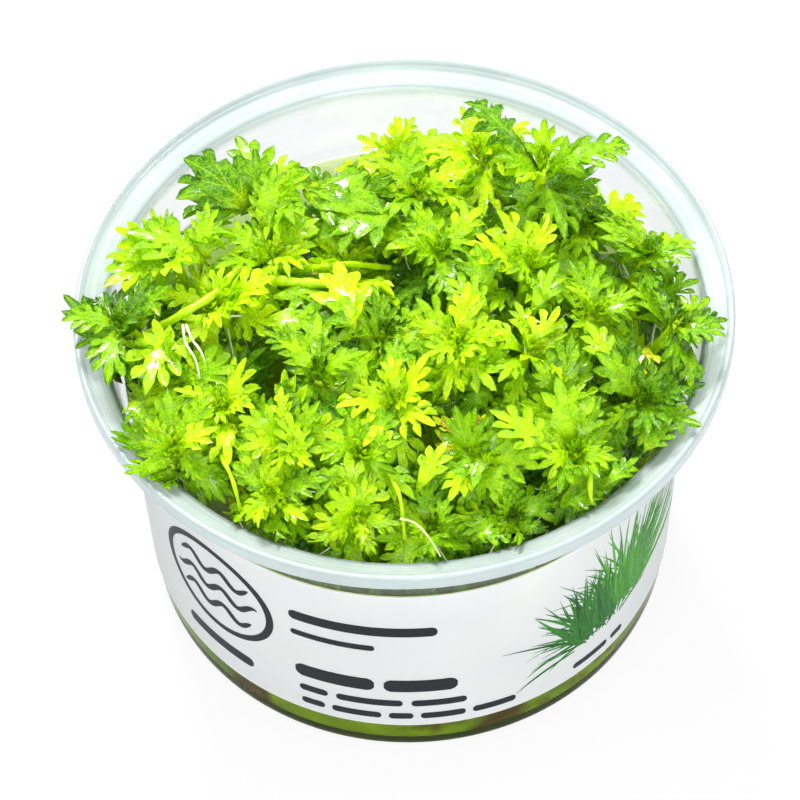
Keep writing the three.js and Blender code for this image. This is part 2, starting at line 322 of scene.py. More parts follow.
# Clear polypropylene, injection moulded: glossy with a faint ripple, clear in the wall and milky in the
# thick rim, with faint moulding rings. A dark line along the lip, where the plastic is thickest, and grey on
# the rim's outer edge and crest are painted shade, standing in for how the thick, curved plastic darkens.
# The gel clings to the wall, so the step in index is small there and little reflects, and the foot is painted
# the gel's dark olive, as it looks with the gel seen through it.
def makeClearPlastic():
    material, tree, place = newMaterial("clearMouldedPolypropylene")
    height = heightOf(tree, place)
    flat = vectorMaths(tree, "MULTIPLY", place, (1.0, 1.0, 0.0))["Vector"]
    fromAxis = vectorMaths(tree, "LENGTH", flat)["Value"]
    ripple = noise(tree, place, 90.0)  # waves of about 11 mm
    haze = remap(tree, ripple, 0.0, 1.0, 0.04, 0.12)
    normal = bumps(tree, ripple, 0.12, 0.4)
    tint = ramp(tree, ripple, (0.3, "#f8fcfd"), (0.7, "#fdffff"))
    milky = ramp(tree, ripple, (0.3, "#d5e0de"), (0.7, "#e3ecea"))
    rings = addNode(tree, "ShaderNodeTexNoise", {"noise_dimensions": "1D"},
                    {"W": fromAxis, "Scale": 1400.0, "Detail": 2.0}).outputs["Fac"]  # 0.7 mm moulding rings
    ringed = blend(tree, remap(tree, rings, 0.5, 0.7, 0.0, 0.5), milky, "#a9bab8")
    # painted shade: a dark line along the lip, where the plastic is thickest
    fromLip = maths(tree, "ABSOLUTE", maths(tree, "SUBTRACT", fromAxis, cup["lipLineRadius"] * mm))
    rimTintAndPaintedLipShade = blend(tree, remapMm(tree, fromLip, cup["lipLineFade"], 0.5), ringed, "#74868f")
    # painted shade: grey on the rim's outer edge, darker on its crest
    edgePaintedShade = blend(tree, remapMm(tree, height, cup["crestZone"]),
                     ramp(tree, ripple, (0.3, "#c2cccd"), (0.7, "#ced7d8")), "#b0bcba")

    def plastic(colour, roughness, transmission, index=1.49, specular=0.3):
        return principled(tree, {
            "Base Color": colour, "Roughness": roughness, "Normal": normal,
            "Transmission Weight": transmission, "IOR": index, "Specular IOR Level": specular})

    wall, wetWall = plastic(tint, haze, 1.0), plastic(tint, haze, 1.0, 1.1, 0.5)
    rim, edge = plastic(rimTintAndPaintedLipShade, 0.12, 0.66), plastic(edgePaintedShade, 0.25, 0.4)
    # the foot is painted the gel's dark olive, as it looks with the gel seen through it
    foot = plastic("#5e6e22", 0.3, 0.12, specular=0.1)
    body = mixShaders(tree, remapMm(tree, height, cup["rimZone"]), wall, rim)
    upper = mixShaders(tree, remapMm(tree, fromAxis, cup["edgeZone"]), body, edge)
    lower = mixShaders(tree, remapMm(tree, height, cup["gelZone"]), upper, wetWall)
    surface = mixShaders(tree, remapMm(tree, height, cup["footZone"]), lower, foot)
    absorbing = addNode(tree, "ShaderNodeVolumeAbsorption", None, {"Color": "#b4dcd8", "Density": 8.0})
    addNode(tree, "ShaderNodeOutputMaterial", None, {"Surface": surface, "Volume": absorbing})
    return material


def makeCup():
    shoulderTop = cup["shoulderHeight"] + cup["shoulderRise"]
    shoulderRadius = cup["wallHigh"] + cup["shoulderStep"]
    skirtLow = cup["height"] - cup["skirtDrop"]
    skirtInner = cup["rimRadius"] - cup["skirtThickness"]
    wall = cup["wall"]
    slopeInside, slopeHeight = cup["footSlope"]
    profile = softProfile([
        (0, cup["footRise"], 0), (cup["footInner"], cup["footRise"], 0.3), (cup["footOuter"], 0, 0.3),
        (cup["baseRadius"], 0, 0.8),
        (cup["wallLow"] - slopeInside, slopeHeight, 1.0), (cup["wallLow"], cup["baseRounding"], 0.8),
        (cup["wallHigh"], cup["shoulderHeight"], 0.8),
        (shoulderRadius, shoulderTop, 0.9),
        (cup["lipRadius"] + wall, cup["lipHeight"] - wall, 0.6),
        (skirtInner, flangeHeight(skirtInner) - wall, 0.5),
        (skirtInner, skirtLow, 0.25), (cup["rimRadius"], skirtLow, 0.25),
        (cup["rimRadius"], cup["height"] - cup["rimRounding"], 0.4),
        (cup["rimRadius"] - cup["rimRounding"], cup["height"], 0.4),
        *[(r, flangeHeight(r) + drop, 0.4) for r, drop in cup["bead"]],
        (cup["lipRadius"], cup["lipHeight"], 0.8),
        (shoulderRadius - wall, shoulderTop, 0.9),
        (cup["wallHigh"] - wall, cup["shoulderHeight"], 0.8),
        (cup["wallLow"] - wall, cup["baseRounding"], 0.8),
        (cup["baseRadius"], cup["baseThickness"], 0.8), (0, cup["baseThickness"], 0),
    ])
    piece = newPiece("clear_cup", turnedMesh("clear_cup", profile, cup["turns"]), makeClearPlastic())
    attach(piece, "root")
    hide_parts("cup")


makeCup()
print("cup made")


# Label

label = {
    "low": 8, "high": 46.2, "gap": 0.05, "thickness": 0.3, "inkLift": 0.012, "inkThickness": 0.03,
    "edgeRounding": 0.06, "turns": 160,
    "leafLight": (45, 33),  # between these heights the leaves' green light fades in
}


# Matt coated paper: nearly white with a cold cast, and fine fibres that only break up its sheen. Green light
# from the leaves tints its inner face.
def makeLabelPaper():
    material, tree, place = newMaterial("mattCoatedPaper")
    fibres = noise(tree, place, 1400.0, 4.0)  # 0.7 mm clumps
    tone = ramp(tree, noise(tree, place, 60.0), (0.3, "#efeef4"), (0.7, "#f5f4f9"))
    inside = attribute(tree, "insideFace")
    height = heightOf(tree, place)
    innerTone = blend(tree, remapMm(tree, height, label["leafLight"]), "#f4ffc0", "#a9dc10")
    tinted = blend(tree, inside, tone, innerTone)
    shader = principled(tree, {
        "Base Color": tinted, "Roughness": remap(tree, fibres, 0.0, 1.0, 0.42, 0.6),
        "Normal": bumps(tree, fibres, 0.15, 0.03), "IOR": 1.5})
    show(tree, letThrough(tree, remap(tree, inside, 0.0, 1.0, 0.42, 0.85), shader, tinted))
    return material


# Printing ink: flat and slightly glossier than the paper, with the fine grain of the press
def makeInk(name, darkColour, lightColour, toneAttribute=None):
    material, tree, place = newMaterial(name)
    grain = noise(tree, place, 2500.0)  # 0.4 mm grain
    tone = grain
    if toneAttribute:
        tone = maths(tree, "MULTIPLY_ADD", grain, 0.25, attribute(tree, toneAttribute))
    shader = principled(tree, {
        "Base Color": ramp(tree, tone, (0.15, darkColour), (0.95, lightColour)),
        "Roughness": remap(tree, grain, 0.0, 1.0, 0.3, 0.45), "IOR": 1.48, "Specular IOR Level": 0.06})
    show(tree, shader)
    return material


def labelRadius(z):
    return wallRadius(z) + label["gap"] + label["thickness"]


# A printed stroke, from its half widths and its middle line in label millimetres: round the cup from the
# front, and up
def addStroke(strokes, line, halfWidths, tone=0.5):
    line = np.array(line, float)
    halfWidths = np.broadcast_to(np.array(halfWidths, float), len(line))
    ahead = np.gradient(line, axis=0)
    ahead /= np.maximum(np.linalg.norm(ahead, axis=1, keepdims=True), 1e-9)
    left = np.stack([-ahead[:, 1], ahead[:, 0]], 1) * halfWidths[:, None]
    first, count = len(strokes["points"]), len(line)
    for flat, lift in ((line + left, 1), (line - left, 1), (line - left, 0), (line + left, 0)):
        for along, z in flat:
            r = labelRadius(z) + label["inkLift"] + lift * label["inkThickness"]
            angle = along / labelRadius(z) - math.pi / 2
            strokes["points"].append((r * math.cos(angle), r * math.sin(angle), z))
            strokes["tones"].append(tone)
    for side in range(4):
        a, b = first + side * count, first + (side + 1) % 4 * count
        for i in range(count - 1):
            strokes["faces"].append([a + i, b + i, b + i + 1, a + i + 1])
    strokes["faces"].append([first + side * count for side in (3, 2, 1, 0)])
    strokes["faces"].append([first + side * count + count - 1 for side in (0, 1, 2, 3)])


# A bar with rounded ends. Its points are close enough together to follow the wall.
def addBar(strokes, start, end, z, height):
    rounding, spacing = height * printing["barRounding"], printing["barSpacing"]
    inward, narrower = printing["barEnd"]
    along = np.concatenate([[start, start + rounding * inward, start + rounding],
                            np.arange(start + rounding + spacing, end - rounding - spacing / 2, spacing),
                            [end - rounding, end - rounding * inward, end]])
    widths = np.full(len(along), height / 2)
    widths[[0, -1]] = height / 2 - rounding
    widths[[1, -2]] = height / 2 - rounding * narrower
    addStroke(strokes, [(s, z) for s in along], widths)


def strokePiece(name, strokes, material):
    mesh = newMesh(name, strokes["points"], strokes["faces"])
    setValues(mesh, "bladeTone", strokes["tones"])
    piece = newPiece(name, mesh, material)
    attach(piece, "root")


# Places in label millimetres: a ring with waves, rows of plain bars, and two tufts of blades
printing = {
    "ring": {"at": (-33.8, 31), "radius": 10.8, "halfWidth": 0.65, "steps": 73},
    "waves": {"heights": (26.2, 31, 35.8), "halfLengths": (7.2, 8.6, 7.2), "rise": 1.25, "wave": 6.4,
              "halfWidth": 0.62, "steps": 41, "endPower": 6, "thinnest": 0.02},
    "barRounding": 0.3, "barSpacing": 1.4,
    "barEnd": (0.4, 0.35),  # a point on the rounded end: its way in, and how much narrower the bar is there
    "bars": [  # start, end, height over the base, bar height
        (-41.2, -27, 14.6, 2.6),
        (-19.5, 3.4, 36.2, 2.5),
        (-19.4, -6.2, 31.2, 1.5),
        (-19.1, -6.5, 20.2, 3.5), (-5, 6.4, 20.2, 3.5),
        (-18.6, -14, 14.9, 1.8), (-12.6, -2.2, 14.9, 1.8), (-0.8, 7.8, 14.9, 1.8),
        (-18.4, -14.6, 11, 1.7), (-13.4, -5.6, 11, 1.7), (-4.4, -0.6, 11, 1.7), (0.6, 7.6, 11, 1.7),
        (8.8, 15.8, 11, 1.7),
        (26.4, 33.6, 11, 1.5), (34.6, 37.4, 11, 1.5),
    ],
    "tufts": [  # root, spread, number of blades, reach, lean, brightness, seed
        ((31.5, 15), 4.2, 165, (7, 22), -0.12, (0, 0.4), 11),
        ((38.5, 17), 3.2, 150, (10, 28), 0.06, (0.15, 0.8), 12),
    ],
    "blade": {"leanScatter": 0.4, "shortening": 0.22, "bowShare": 0.7, "bowScatter": 0.16, "steps": 7,
              "halfWidths": (0.14, 0.3), "rootHeights": (0, 2.5), "taper": (0.12, 0.98)},
}


def makeLabel():
    inner = label["gap"]
    outer = inner + label["thickness"]
    low, high, rounding = label["low"], label["high"], label["edgeRounding"]
    profile = softProfile([
        (wallRadius(low) + inner, low, 0), (wallRadius(low) + outer, low, rounding),
        (wallRadius(high) + outer, high, rounding), (wallRadius(high) + inner, high, 0),
    ], closed=True)
    paper = turnedMesh("wrapped_label", profile, label["turns"], closed=True)
    middle = label["gap"] + label["thickness"] / 2
    setValues(paper, "insideFace", [
        float(math.hypot(v.co.x, v.co.y) / mm < wallRadius(v.co.z / mm) + middle) for v in paper.vertices])
    piece = newPiece("wrapped_label", paper, makeLabelPaper())
    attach(piece, "root")
    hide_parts("label")

    dark = {"points": [], "faces": [], "tones": []}
    ring, waves = printing["ring"], printing["waves"]
    x, y = ring["at"]
    addStroke(dark, [(x + ring["radius"] * math.cos(t), y + ring["radius"] * math.sin(t))
                     for t in np.linspace(0, 2 * math.pi, ring["steps"])], ring["halfWidth"])
    thinnest = waves["thinnest"]
    for height, half in zip(waves["heights"], waves["halfLengths"]):
        steps = np.linspace(-half, half, waves["steps"])
        roundEnds = np.sqrt(np.clip(1 + thinnest - (steps / half) ** waves["endPower"], thinnest, 1))
        addStroke(dark, [(x + s, height + waves["rise"] * math.sin(2 * math.pi * s / waves["wave"]))
                         for s in steps], waves["halfWidth"] * roundEnds)
    for start, end, z, height in printing["bars"]:
        addBar(dark, start, end, z, height)
    strokePiece("printed_mark_and_bars", dark, makeInk("darkGreyInk", "#15191b", "#262b2e"))

    green = {"points": [], "faces": [], "tones": []}
    blade = printing["blade"]
    steps = np.linspace(0, 1, blade["steps"])
    taper = np.sin(np.pi * np.linspace(*blade["taper"], blade["steps"]))
    for (x, y), spread, blades, reaches, clumpLean, tones, seed in printing["tufts"]:
        chance = np.random.default_rng(seed)
        for _ in range(blades):
            lean = clumpLean + chance.normal(0, blade["leanScatter"])
            reach = chance.uniform(*reaches) * (1 - blade["shortening"] * abs(lean)) / blade["steps"]
            angle = lean + (lean * blade["bowShare"] + chance.normal(0, blade["bowScatter"])) * steps
            start = (x + chance.uniform(-1, 1) * spread, y + chance.uniform(*blade["rootHeights"]))
            line = np.stack([start[0] + reach * np.cumsum(np.sin(angle)),
                             start[1] + reach * np.cumsum(np.cos(angle))], 1)
            halfWidth = chance.uniform(*blade["halfWidths"])
            addStroke(green, line, halfWidth * taper, chance.uniform(*tones))
    strokePiece("printed_blades", green, makeInk("greenInk", "#003d1c", "#4c9c26", "bladeTone"))


makeLabel()
print("label made")


# Nutrient gel

gel = {
    "low": 1.05, "height": 13, "overlap": 0.05, "turns": 96,  # set against the wall, with no air between
    "edgeDrop": 0.1, "meniscus": (0.9, 0.5), "middleDrop": 0.6,  # it climbs the wall a little
    "blotches": [((13.5, -39, 4), 5), ((-26, -32, 4), 4)],  # place and reach
    "blotchUneven": 12, "blotchFade": (7, 5),
}


# Nutrient gel: cloudy olive jelly with a wet gloss, and brown patches where roots have stained it
def makeGelMaterial():
    material, tree, place = newMaterial("cloudyNutrientGel")
    cloud = noise(tree, place, 110.0, 3.0)  # 9 mm clouds
    base = ramp(tree, cloud, (0.3, "#4c6200"), (0.55, "#647c02"), (0.75, "#869808"))
    stain = noise(tree, place, 75.0, 4.0, 0.6)  # 13 mm patches
    brown = remap(tree, stain, 0.57, 0.66, 0.0, 0.75)
    for spot, reach in gel["blotches"]:  # the biggest brown patches, at their own places by the wall
        distance = vectorMaths(tree, "DISTANCE", place, tuple(c * mm for c in spot))["Value"]
        uneven = maths(tree, "MULTIPLY_ADD", stain, gel["blotchUneven"] * mm, distance)
        patch = remapMm(tree, uneven, [reach + fade for fade in gel["blotchFade"]], 0.85)
        brown = maths(tree, "MAXIMUM", brown, patch)
    shader = principled(tree, {
        "Base Color": blend(tree, brown, base, "#3c1e06"), "Roughness": 0.3, "IOR": 1.34,
        "Specular IOR Level": 0.05, "Subsurface Weight": 0.08,
        "Subsurface Radius": (0.004, 0.005, 0.002), "Subsurface Scale": 1.0})
    show(tree, shader)
    return material


def makeGel():
    inner = cup["wall"] - gel["overlap"]
    top = gel["height"]
    width, drop = gel["meniscus"]
    profile = softProfile([
        (0, gel["low"], 0), (cup["baseRadius"] + gel["overlap"], gel["low"], 0.8),
        (wallRadius(cup["baseRounding"]) - inner, cup["baseRounding"] - gel["overlap"], 0.8),
        (wallRadius(top) - inner, top - gel["edgeDrop"], 0.1),
        (wallRadius(top) - inner - width, top - drop, 0.5), (0, top - gel["middleDrop"], 0),
    ])
    piece = newPiece("cloudy_gel", turnedMesh("cloudy_gel", profile, gel["turns"]), makeGelMaterial())
    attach(piece, "root")
    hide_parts("nutrient_gel")


makeGel()
print("gel made")


# How the plant grows

plant = {
    # one list for each stem: its rosettes' places (x, y), heights over the rim and leaf lengths
    "shoots": [
        [(-41, -5, 2, 12), (-34, -13, 0, 12.5)], [(-35, 9, 1, 13), (-28, 0, 0, 11.5)],
        [(-20, 20, 1, 12.5), (-20, 9, 0, 11.5)], [(-8, 20, -2, 12), (-9, 8, -4, 12.5)],
        [(0, 33, -6, 11), (3, 22, -1, 12.5)], [(6, 9, 0, 12.5)], [(13, 30, -3, 12.5)], [(22, 20, 5, 12)],
        [(37, 6, 1, 11), (29, 17, -4, 12.5)], [(19, 4, 2, 12.5), (28, -5, 1, 11.5)], [(40, -8, 2, 10)],
        [(18, -12, 2, 11.5), (8, -10, 2, 11.5)], [(-3, -8, 1, 12.5), (-13, -15, 1, 12.5)],
        [(22, -19, 0, 11.5), (24, -29, 0, 11.5)], [(34, -20, 0, 12)],
        [(9, -30, 0, 11.5), (14, -38, -3, 9.5)], [(-2, -20, 1, 11.5)],
        [(-7, -29, 1, 11.5), (-8, -38, -2, 9.5)], [(3, -39, -4, 9.5)],
        [(-17, -26, 1, 11.5), (-20, -34, -1, 10.5)], [(-27, -20, 1, 11.5), (-34, -26, 0, 11)],
    ],
    "leanLeast": 6, "leanGain": 30,  # degrees, and more towards the wall
    "wallClearance": 1.2, "flangeClearance": 1.3, "slideUp": 0.5,
}


# A repeatable scatter between 0 and 1 for one trait of one leaf of one rosette: the far digits of a sine
def scatter(rosette, leaf, trait):
    traits = ["length", "rise", "droop", "roll", "way"]
    value = math.sin(rosette * 12.9898 + leaf * 78.233 + traits.index(trait) * 37.719) * 43758.5453
    return value - math.floor(value)


def rosetteAxis(rosette):
    x, y = rosette[:2]
    lean = math.radians(plant["leanLeast"] + plant["leanGain"] * (math.hypot(x, y) / cup["rimRadius"]) ** 2)
    towards = math.atan2(y, x)
    return Vector((math.sin(lean) * math.cos(towards), math.sin(lean) * math.sin(towards), math.cos(lean)))


def overRim(place):
    return Vector((place[0], place[1], cup["height"] + place[2]))


# Points that would pass through the wall slide up along it, and those over the flange lie on it
def keepClear(pointsMm):
    r = np.hypot(pointsMm[:, 0], pointsMm[:, 1])
    limit = innerRadius(pointsMm[:, 2]) - plant["wallClearance"]
    high = pointsMm[:, 2] >= cup["lipHeight"] - 1
    over = high & (r > cup["lipRadius"] - plant["wallClearance"])
    lying = flangeHeight(np.maximum(r, cup["lipRadius"])) + plant["flangeClearance"]
    through = ~high & (r > limit)
    raised = np.where(through, pointsMm[:, 2] + plant["slideUp"] * (r - limit), pointsMm[:, 2])
    pointsMm[:, 2] = np.where(over, np.maximum(pointsMm[:, 2], lying), raised)
    pointsMm[:, :2] *= np.where(through, limit / np.maximum(r, 1e-6), 1)[:, None]
    return pointsMm


# Leaf shapes

# Every lobe of a leaf has a vein: where it leaves the midrib, its length, its turn from the midrib in degrees
# and the lobe's half width. Lengths are shares of the leaf's length. fold lifts the margins, and curl drops
# the lobes' tips.
leafShapes = {
    "broad": {
        "veins": [(0.22, 0.35, 58, 0.066), (0.34, 0.44, 45, 0.076), (0.50, 0.40, 32, 0.07)],
        "sinus": 0.43, "end": 0.066, "wing": 0.04, "fold": 0.22, "curl": 0.06, "outline": "round"},
    "wedge": {
        "veins": [(0.38, 0.36, 46, 0.07), (0.52, 0.36, 32, 0.068)],
        "sinus": 0.38, "end": 0.068, "wing": 0.045, "fold": 0.1, "curl": 0.08, "outline": "pointed"},
    "narrow": {
        "veins": [(0.32, 0.25, 46, 0.052), (0.45, 0.29, 38, 0.058), (0.61, 0.26, 28, 0.054)],
        "sinus": 0.4, "end": 0.055, "wing": 0.04, "fold": 0.3, "curl": 0.05, "outline": "pointed"},
    "reflexed": {
        "veins": [(0.19, 0.36, 62, 0.064), (0.32, 0.44, 47, 0.074), (0.49, 0.40, 33, 0.068)],
        "sinus": 0.43, "end": 0.064, "wing": 0.05, "fold": -0.14, "curl": 0.1, "outline": "round"},
    "toothed": {
        "veins": [(0.17, 0.28, 66, 0.05), (0.27, 0.37, 54, 0.056), (0.39, 0.41, 43, 0.06),
                  (0.55, 0.36, 31, 0.06)],
        "sinus": 0.48, "end": 0.06, "wing": 0.045, "fold": 0.14, "curl": 0.08, "outline": "pointed"},
    "fan": {
        "veins": [(0.34, 0.45, 50, 0.085), (0.48, 0.44, 29, 0.08)],
        "sinus": 0.54, "end": 0.075, "wing": 0.055, "fold": 0.12, "curl": 0.04, "outline": "pointed"},
    "long": {
        "veins": [(0.30, 0.27, 56, 0.048), (0.41, 0.36, 50, 0.054), (0.53, 0.38, 42, 0.056),
                  (0.66, 0.32, 33, 0.052), (0.79, 0.2, 25, 0.04)],
        "sinus": 0.4, "end": 0.045, "wing": 0.028, "fold": 0.05, "curl": 0.05, "outline": "round"},
    "young": {
        "veins": [(0.30, 0.36, 40, 0.07), (0.50, 0.34, 26, 0.062)],
        "sinus": 0.56, "end": 0.065, "wing": 0.07, "fold": 0.25, "curl": -0.04, "outline": "pointed"},
    "smooth": {
        "veins": [(0.14, 0.6, 46, 0.11), (0.36, 0.58, 28, 0.1)],
        "sinus": 0.86, "end": 0.12, "wing": 0.12, "fold": 0.16, "curl": 0.12, "outline": "smooth"},
    "spoon": {
        "veins": [(0.46, 0.27, 60, 0.055), (0.56, 0.32, 46, 0.058), (0.70, 0.28, 32, 0.055)],
        "sinus": 0.5, "end": 0.055, "wing": 0.03, "fold": 0.05, "curl": 0.1, "outline": "round"},
}
# The outline of a lobe: shares of its vein's length, and of its half width to either side
lobeOutlines = {
    "round": [(0.46, -0.62), (0.68, -0.94), (0.84, -0.88), (0.955, -0.5), (1, 0), (0.955, 0.5), (0.85, 0.86),
              (0.7, 0.94), (0.48, 0.62)],
    "pointed": [(0.46, -0.66), (0.64, -0.96), (0.79, -0.78), (0.91, -0.4), (1.02, 0), (0.91, 0.4),
                (0.8, 0.76), (0.65, 0.96), (0.48, 0.66)],
    "smooth": [(0.6, -0.5), (0.82, -0.75), (0.93, -0.6), (0.985, -0.3), (1, 0), (0.985, 0.3), (0.93, 0.6),
               (0.82, 0.75), (0.6, 0.5)],
}
lobe = {
    "tipAt": 4,  # the tip's place in an outline
    "turnScatter": 4, "lengths": (0.93, 1.07), "droops": (0.5, 1.5), "insets": (0.88, 1.12),
    "centre": 0.55, "centreDip": 0.032, "marginLift": 0.012, "notchLift": 0.028, "endLift": 0.01,
    "tipVein": 0.7, "innerSkin": 0.6, "lastSkin": 0.8, "wingAt": 0.5,
    # the blade beyond its last lobe: the notch there, the widest place, and the shoulder by the tip
    "endNotch": (0.55, 0.75), "widest": 0.83, "widestAhead": 0.1,
    "shoulder": 0.95, "shoulderShare": 0.62, "shoulderCurl": 0.2, "tipCurl": 0.5,
}


# A closed blade one unit long. Its points carry where they are on the leaf, and the tree bends and places it.
def makeLeafShape(name, shape, seed):
    chance = np.random.default_rng(seed)
    points, faces = [], []

    # along, across, lift, skin (thickness with its side), vein (1 on a vein), edge (1 on the margin)
    def add(*point):
        points.append(point)
        return len(points) - 1

    def addPair(along, across, lift, skin):
        return add(along, across, lift, skin, 1, 0), add(along, across, lift, -skin, 1, 0)

    fold, end, lastVein = shape["fold"], shape["end"], shape["veins"][-1][0]
    root = add(0, 0, 0, 0, 1, 0)
    tip = add(1, 0, -shape["curl"] * lobe["tipCurl"], 0, 1, 1)
    ribs = [addPair(vein[0], 0, 0, 1) for vein in shape["veins"]]
    ribs.append(addPair((lastVein + 1) / 2, 0, 0, lobe["lastSkin"]))
    for hand in (1, -1):
        def margin(along, across, lift, vein=0.0):
            return add(along, hand * across, fold * across + lift, 0, vein, 1)

        def face(*corners):
            for side in (0, 1):
                picked = [c[side] if isinstance(c, tuple) else c for c in corners]
                faces.append(picked if (hand > 0) == (side == 0) else picked[::-1])

        veins = []
        for at, length, turn, wide in shape["veins"]:
            angle = math.radians(turn + chance.uniform(-lobe["turnScatter"], lobe["turnScatter"]))
            length *= chance.uniform(*lobe["lengths"])
            veins.append((at, length, math.cos(angle), math.sin(angle), wide))
        previous = margin(veins[0][0] * lobe["wingAt"], shape["wing"], lobe["endLift"])
        face(root, ribs[0], previous)
        for i, (at, length, ahead, out, wide) in enumerate(veins):
            droop = -shape["curl"] * chance.uniform(*lobe["droops"])
            middle = lobe["centre"] * length
            centre = addPair(at + middle * ahead, hand * middle * out,
                             fold * middle * out - lobe["centreDip"], lobe["innerSkin"])
            sides = []
            for share, breadth in lobeOutlines[shape["outline"]]:
                reach, aside, lowered = share * length, breadth * wide, 1 - abs(breadth)
                sides.append(margin(at + reach * ahead + aside * out, reach * out - aside * ahead,
                                    lobe["marginLift"] * (1 - lowered) + droop * lowered,
                                    lobe["tipVein"] * (aside == 0)))
            if i + 1 < len(veins):
                nextAt, nextLength, nextAhead, nextOut, _ = veins[i + 1]
                inset = shape["sinus"] * chance.uniform(*lobe["insets"])
                notch = margin((at + inset * length * ahead + nextAt + inset * nextLength * nextAhead) / 2,
                               (inset * length * out + inset * nextLength * nextOut) / 2, lobe["notchLift"])
            else:
                inset = shape["sinus"] * length
                inner, least = lobe["endNotch"]
                notch = margin(at + inset * ahead, max(inset * out * inner, end * least), lobe["endLift"])
            face(ribs[i], centre, sides[0], previous)
            face(centre, *sides[lobe["tipAt"]::-1])
            face(centre, *sides[:lobe["tipAt"] - 1:-1])
            face(centre, notch, sides[-1])
            face(ribs[i], ribs[i + 1], notch)
            face(ribs[i], notch, centre)
            previous = notch
        widest = margin(max(lobe["widest"], lastVein + lobe["widestAhead"]), end, lobe["endLift"])
        shoulder = margin(lobe["shoulder"], end * lobe["shoulderShare"],
                          -shape["curl"] * lobe["shoulderCurl"])
        face(ribs[-1], tip, shoulder, widest, previous)
    data = np.array(points)
    mesh = bpy.data.meshes.new(name)
    mesh.from_pydata((data[:, :3] * mm).tolist(), [], faces)
    for column, trait in enumerate(("Along", "Across", "Lift", "Skin", "Vein", "Edge")):
        setValues(mesh, "leaf" + trait, data[:, column].astype(np.float32))
    mesh.shade_smooth()
    onMargin = data[:, 5] == 1
    sharp = [bool(onMargin[list(edge.vertices)].all()) for edge in mesh.edges]
    setValues(mesh, "sharp_edge", sharp, "BOOLEAN", "EDGE")
    return mesh


# Geometry Nodes picks the shapes in the order of their names, which is the order of the dictionary
shapeNumber = {name: number for number, name in enumerate(leafShapes)}
shapeCollection = bpy.data.collections.new("leafShapes")
for shapeName, number in shapeNumber.items():
    shapeMesh = makeLeafShape(shapeName, leafShapes[shapeName], number + 1)
    shapeCollection.objects.link(bpy.data.objects.new(f"leafShape{number}", shapeMesh))
    print("leaf shape made:", shapeName, "with", len(shapeMesh.polygons), "faces")


# Leaf blade: thin, juicy and wet, so it is glossy on top and lets yellow-green light through. Veins are pale,
# margins carry a painted rim light on bright leaves and painted shade on dark ones, and the oldest leaves
# are yellow with brown patches.
def makeLeafMaterial():
    material, tree, place = newMaterial("wetLeafBlade")
    tone, vein, edge, along = (
        attribute(tree, "leaf" + trait) for trait in ("Tone", "Vein", "Edge", "Along"))
    mottle = noise(tree, place, 520.0, 4.0)  # 2 mm patches
    film = noise(tree, place, 600.0)  # wet patches of 1.7 mm
    cells = addNode(tree, "ShaderNodeTexVoronoi", None, {"Vector": place, "Scale": 2200.0})  # 0.5 mm blisters
    net = addNode(tree, "ShaderNodeTexVoronoi", {"feature": "DISTANCE_TO_EDGE"},
                  {"Vector": place, "Scale": 1000.0})  # 1 mm meshes of the vein net
    shade = maths(tree, "MULTIPLY_ADD", mottle, 0.7, -0.35)
    toned = maths(tree, "ADD", tone, shade, clamp=True)
    blade = ramp(tree, toned, (0.0, "#266a00"), (0.2, "#5a9e00"), (0.42, "#92ca00"), (0.62, "#bce800"),
                 (0.8, "#dafa00"), (0.94, "#f2ec00"), (1.0, "#b8941c"))
    sharpVein = remap(tree, vein, 0.86, 1.0, 0.0, 0.6)
    netLine = remap(tree, net.outputs["Distance"], 0.12, 0.0, 0.0, 0.34)
    veined = blend(tree, maths(tree, "MAXIMUM", sharpVein, netLine), blade, "#d4f23a")
    # painted rim light and shade on the margins: lighter on bright leaves, darker on dark ones
    marginRimLightAndShade = ramp(tree, toned, (0.3, "#2f6a00"), (0.55, "#5f9e00"), (0.75, "#e2fc30"))
    withPaintedMargins = blend(tree, remap(tree, edge, 0.84, 1.0, 0.0, 0.6), veined, marginRimLightAndShade)
    colour = blend(tree, remap(tree, along, 0.32, 0.05, 0.0, 0.7), withPaintedMargins, "#d2ee10")
    relief = maths(tree, "MULTIPLY_ADD", vein, -0.9, cells.outputs["Distance"])
    normal = bumps(tree, relief, 0.9, 0.25)
    shader = principled(tree, {
        "Base Color": colour, "Roughness": remap(tree, mottle, 0.4, 0.6, 0.14, 0.42), "Normal": normal,
        "IOR": 1.38, "Specular IOR Level": 0.22, "Coat Weight": remap(tree, film, 0.51, 0.6, 0.17, 1.0),
        "Coat Roughness": 0.1, "Coat IOR": 1.55})
    show(tree, letThrough(tree, 0.5, shader, blend(tree, 0.5, colour, "#dcff00"), normal))
    return material


def readLeaf(tree, kind, *traits):
    return [readAttribute(tree, kind, "leaf" + trait) for trait in traits]


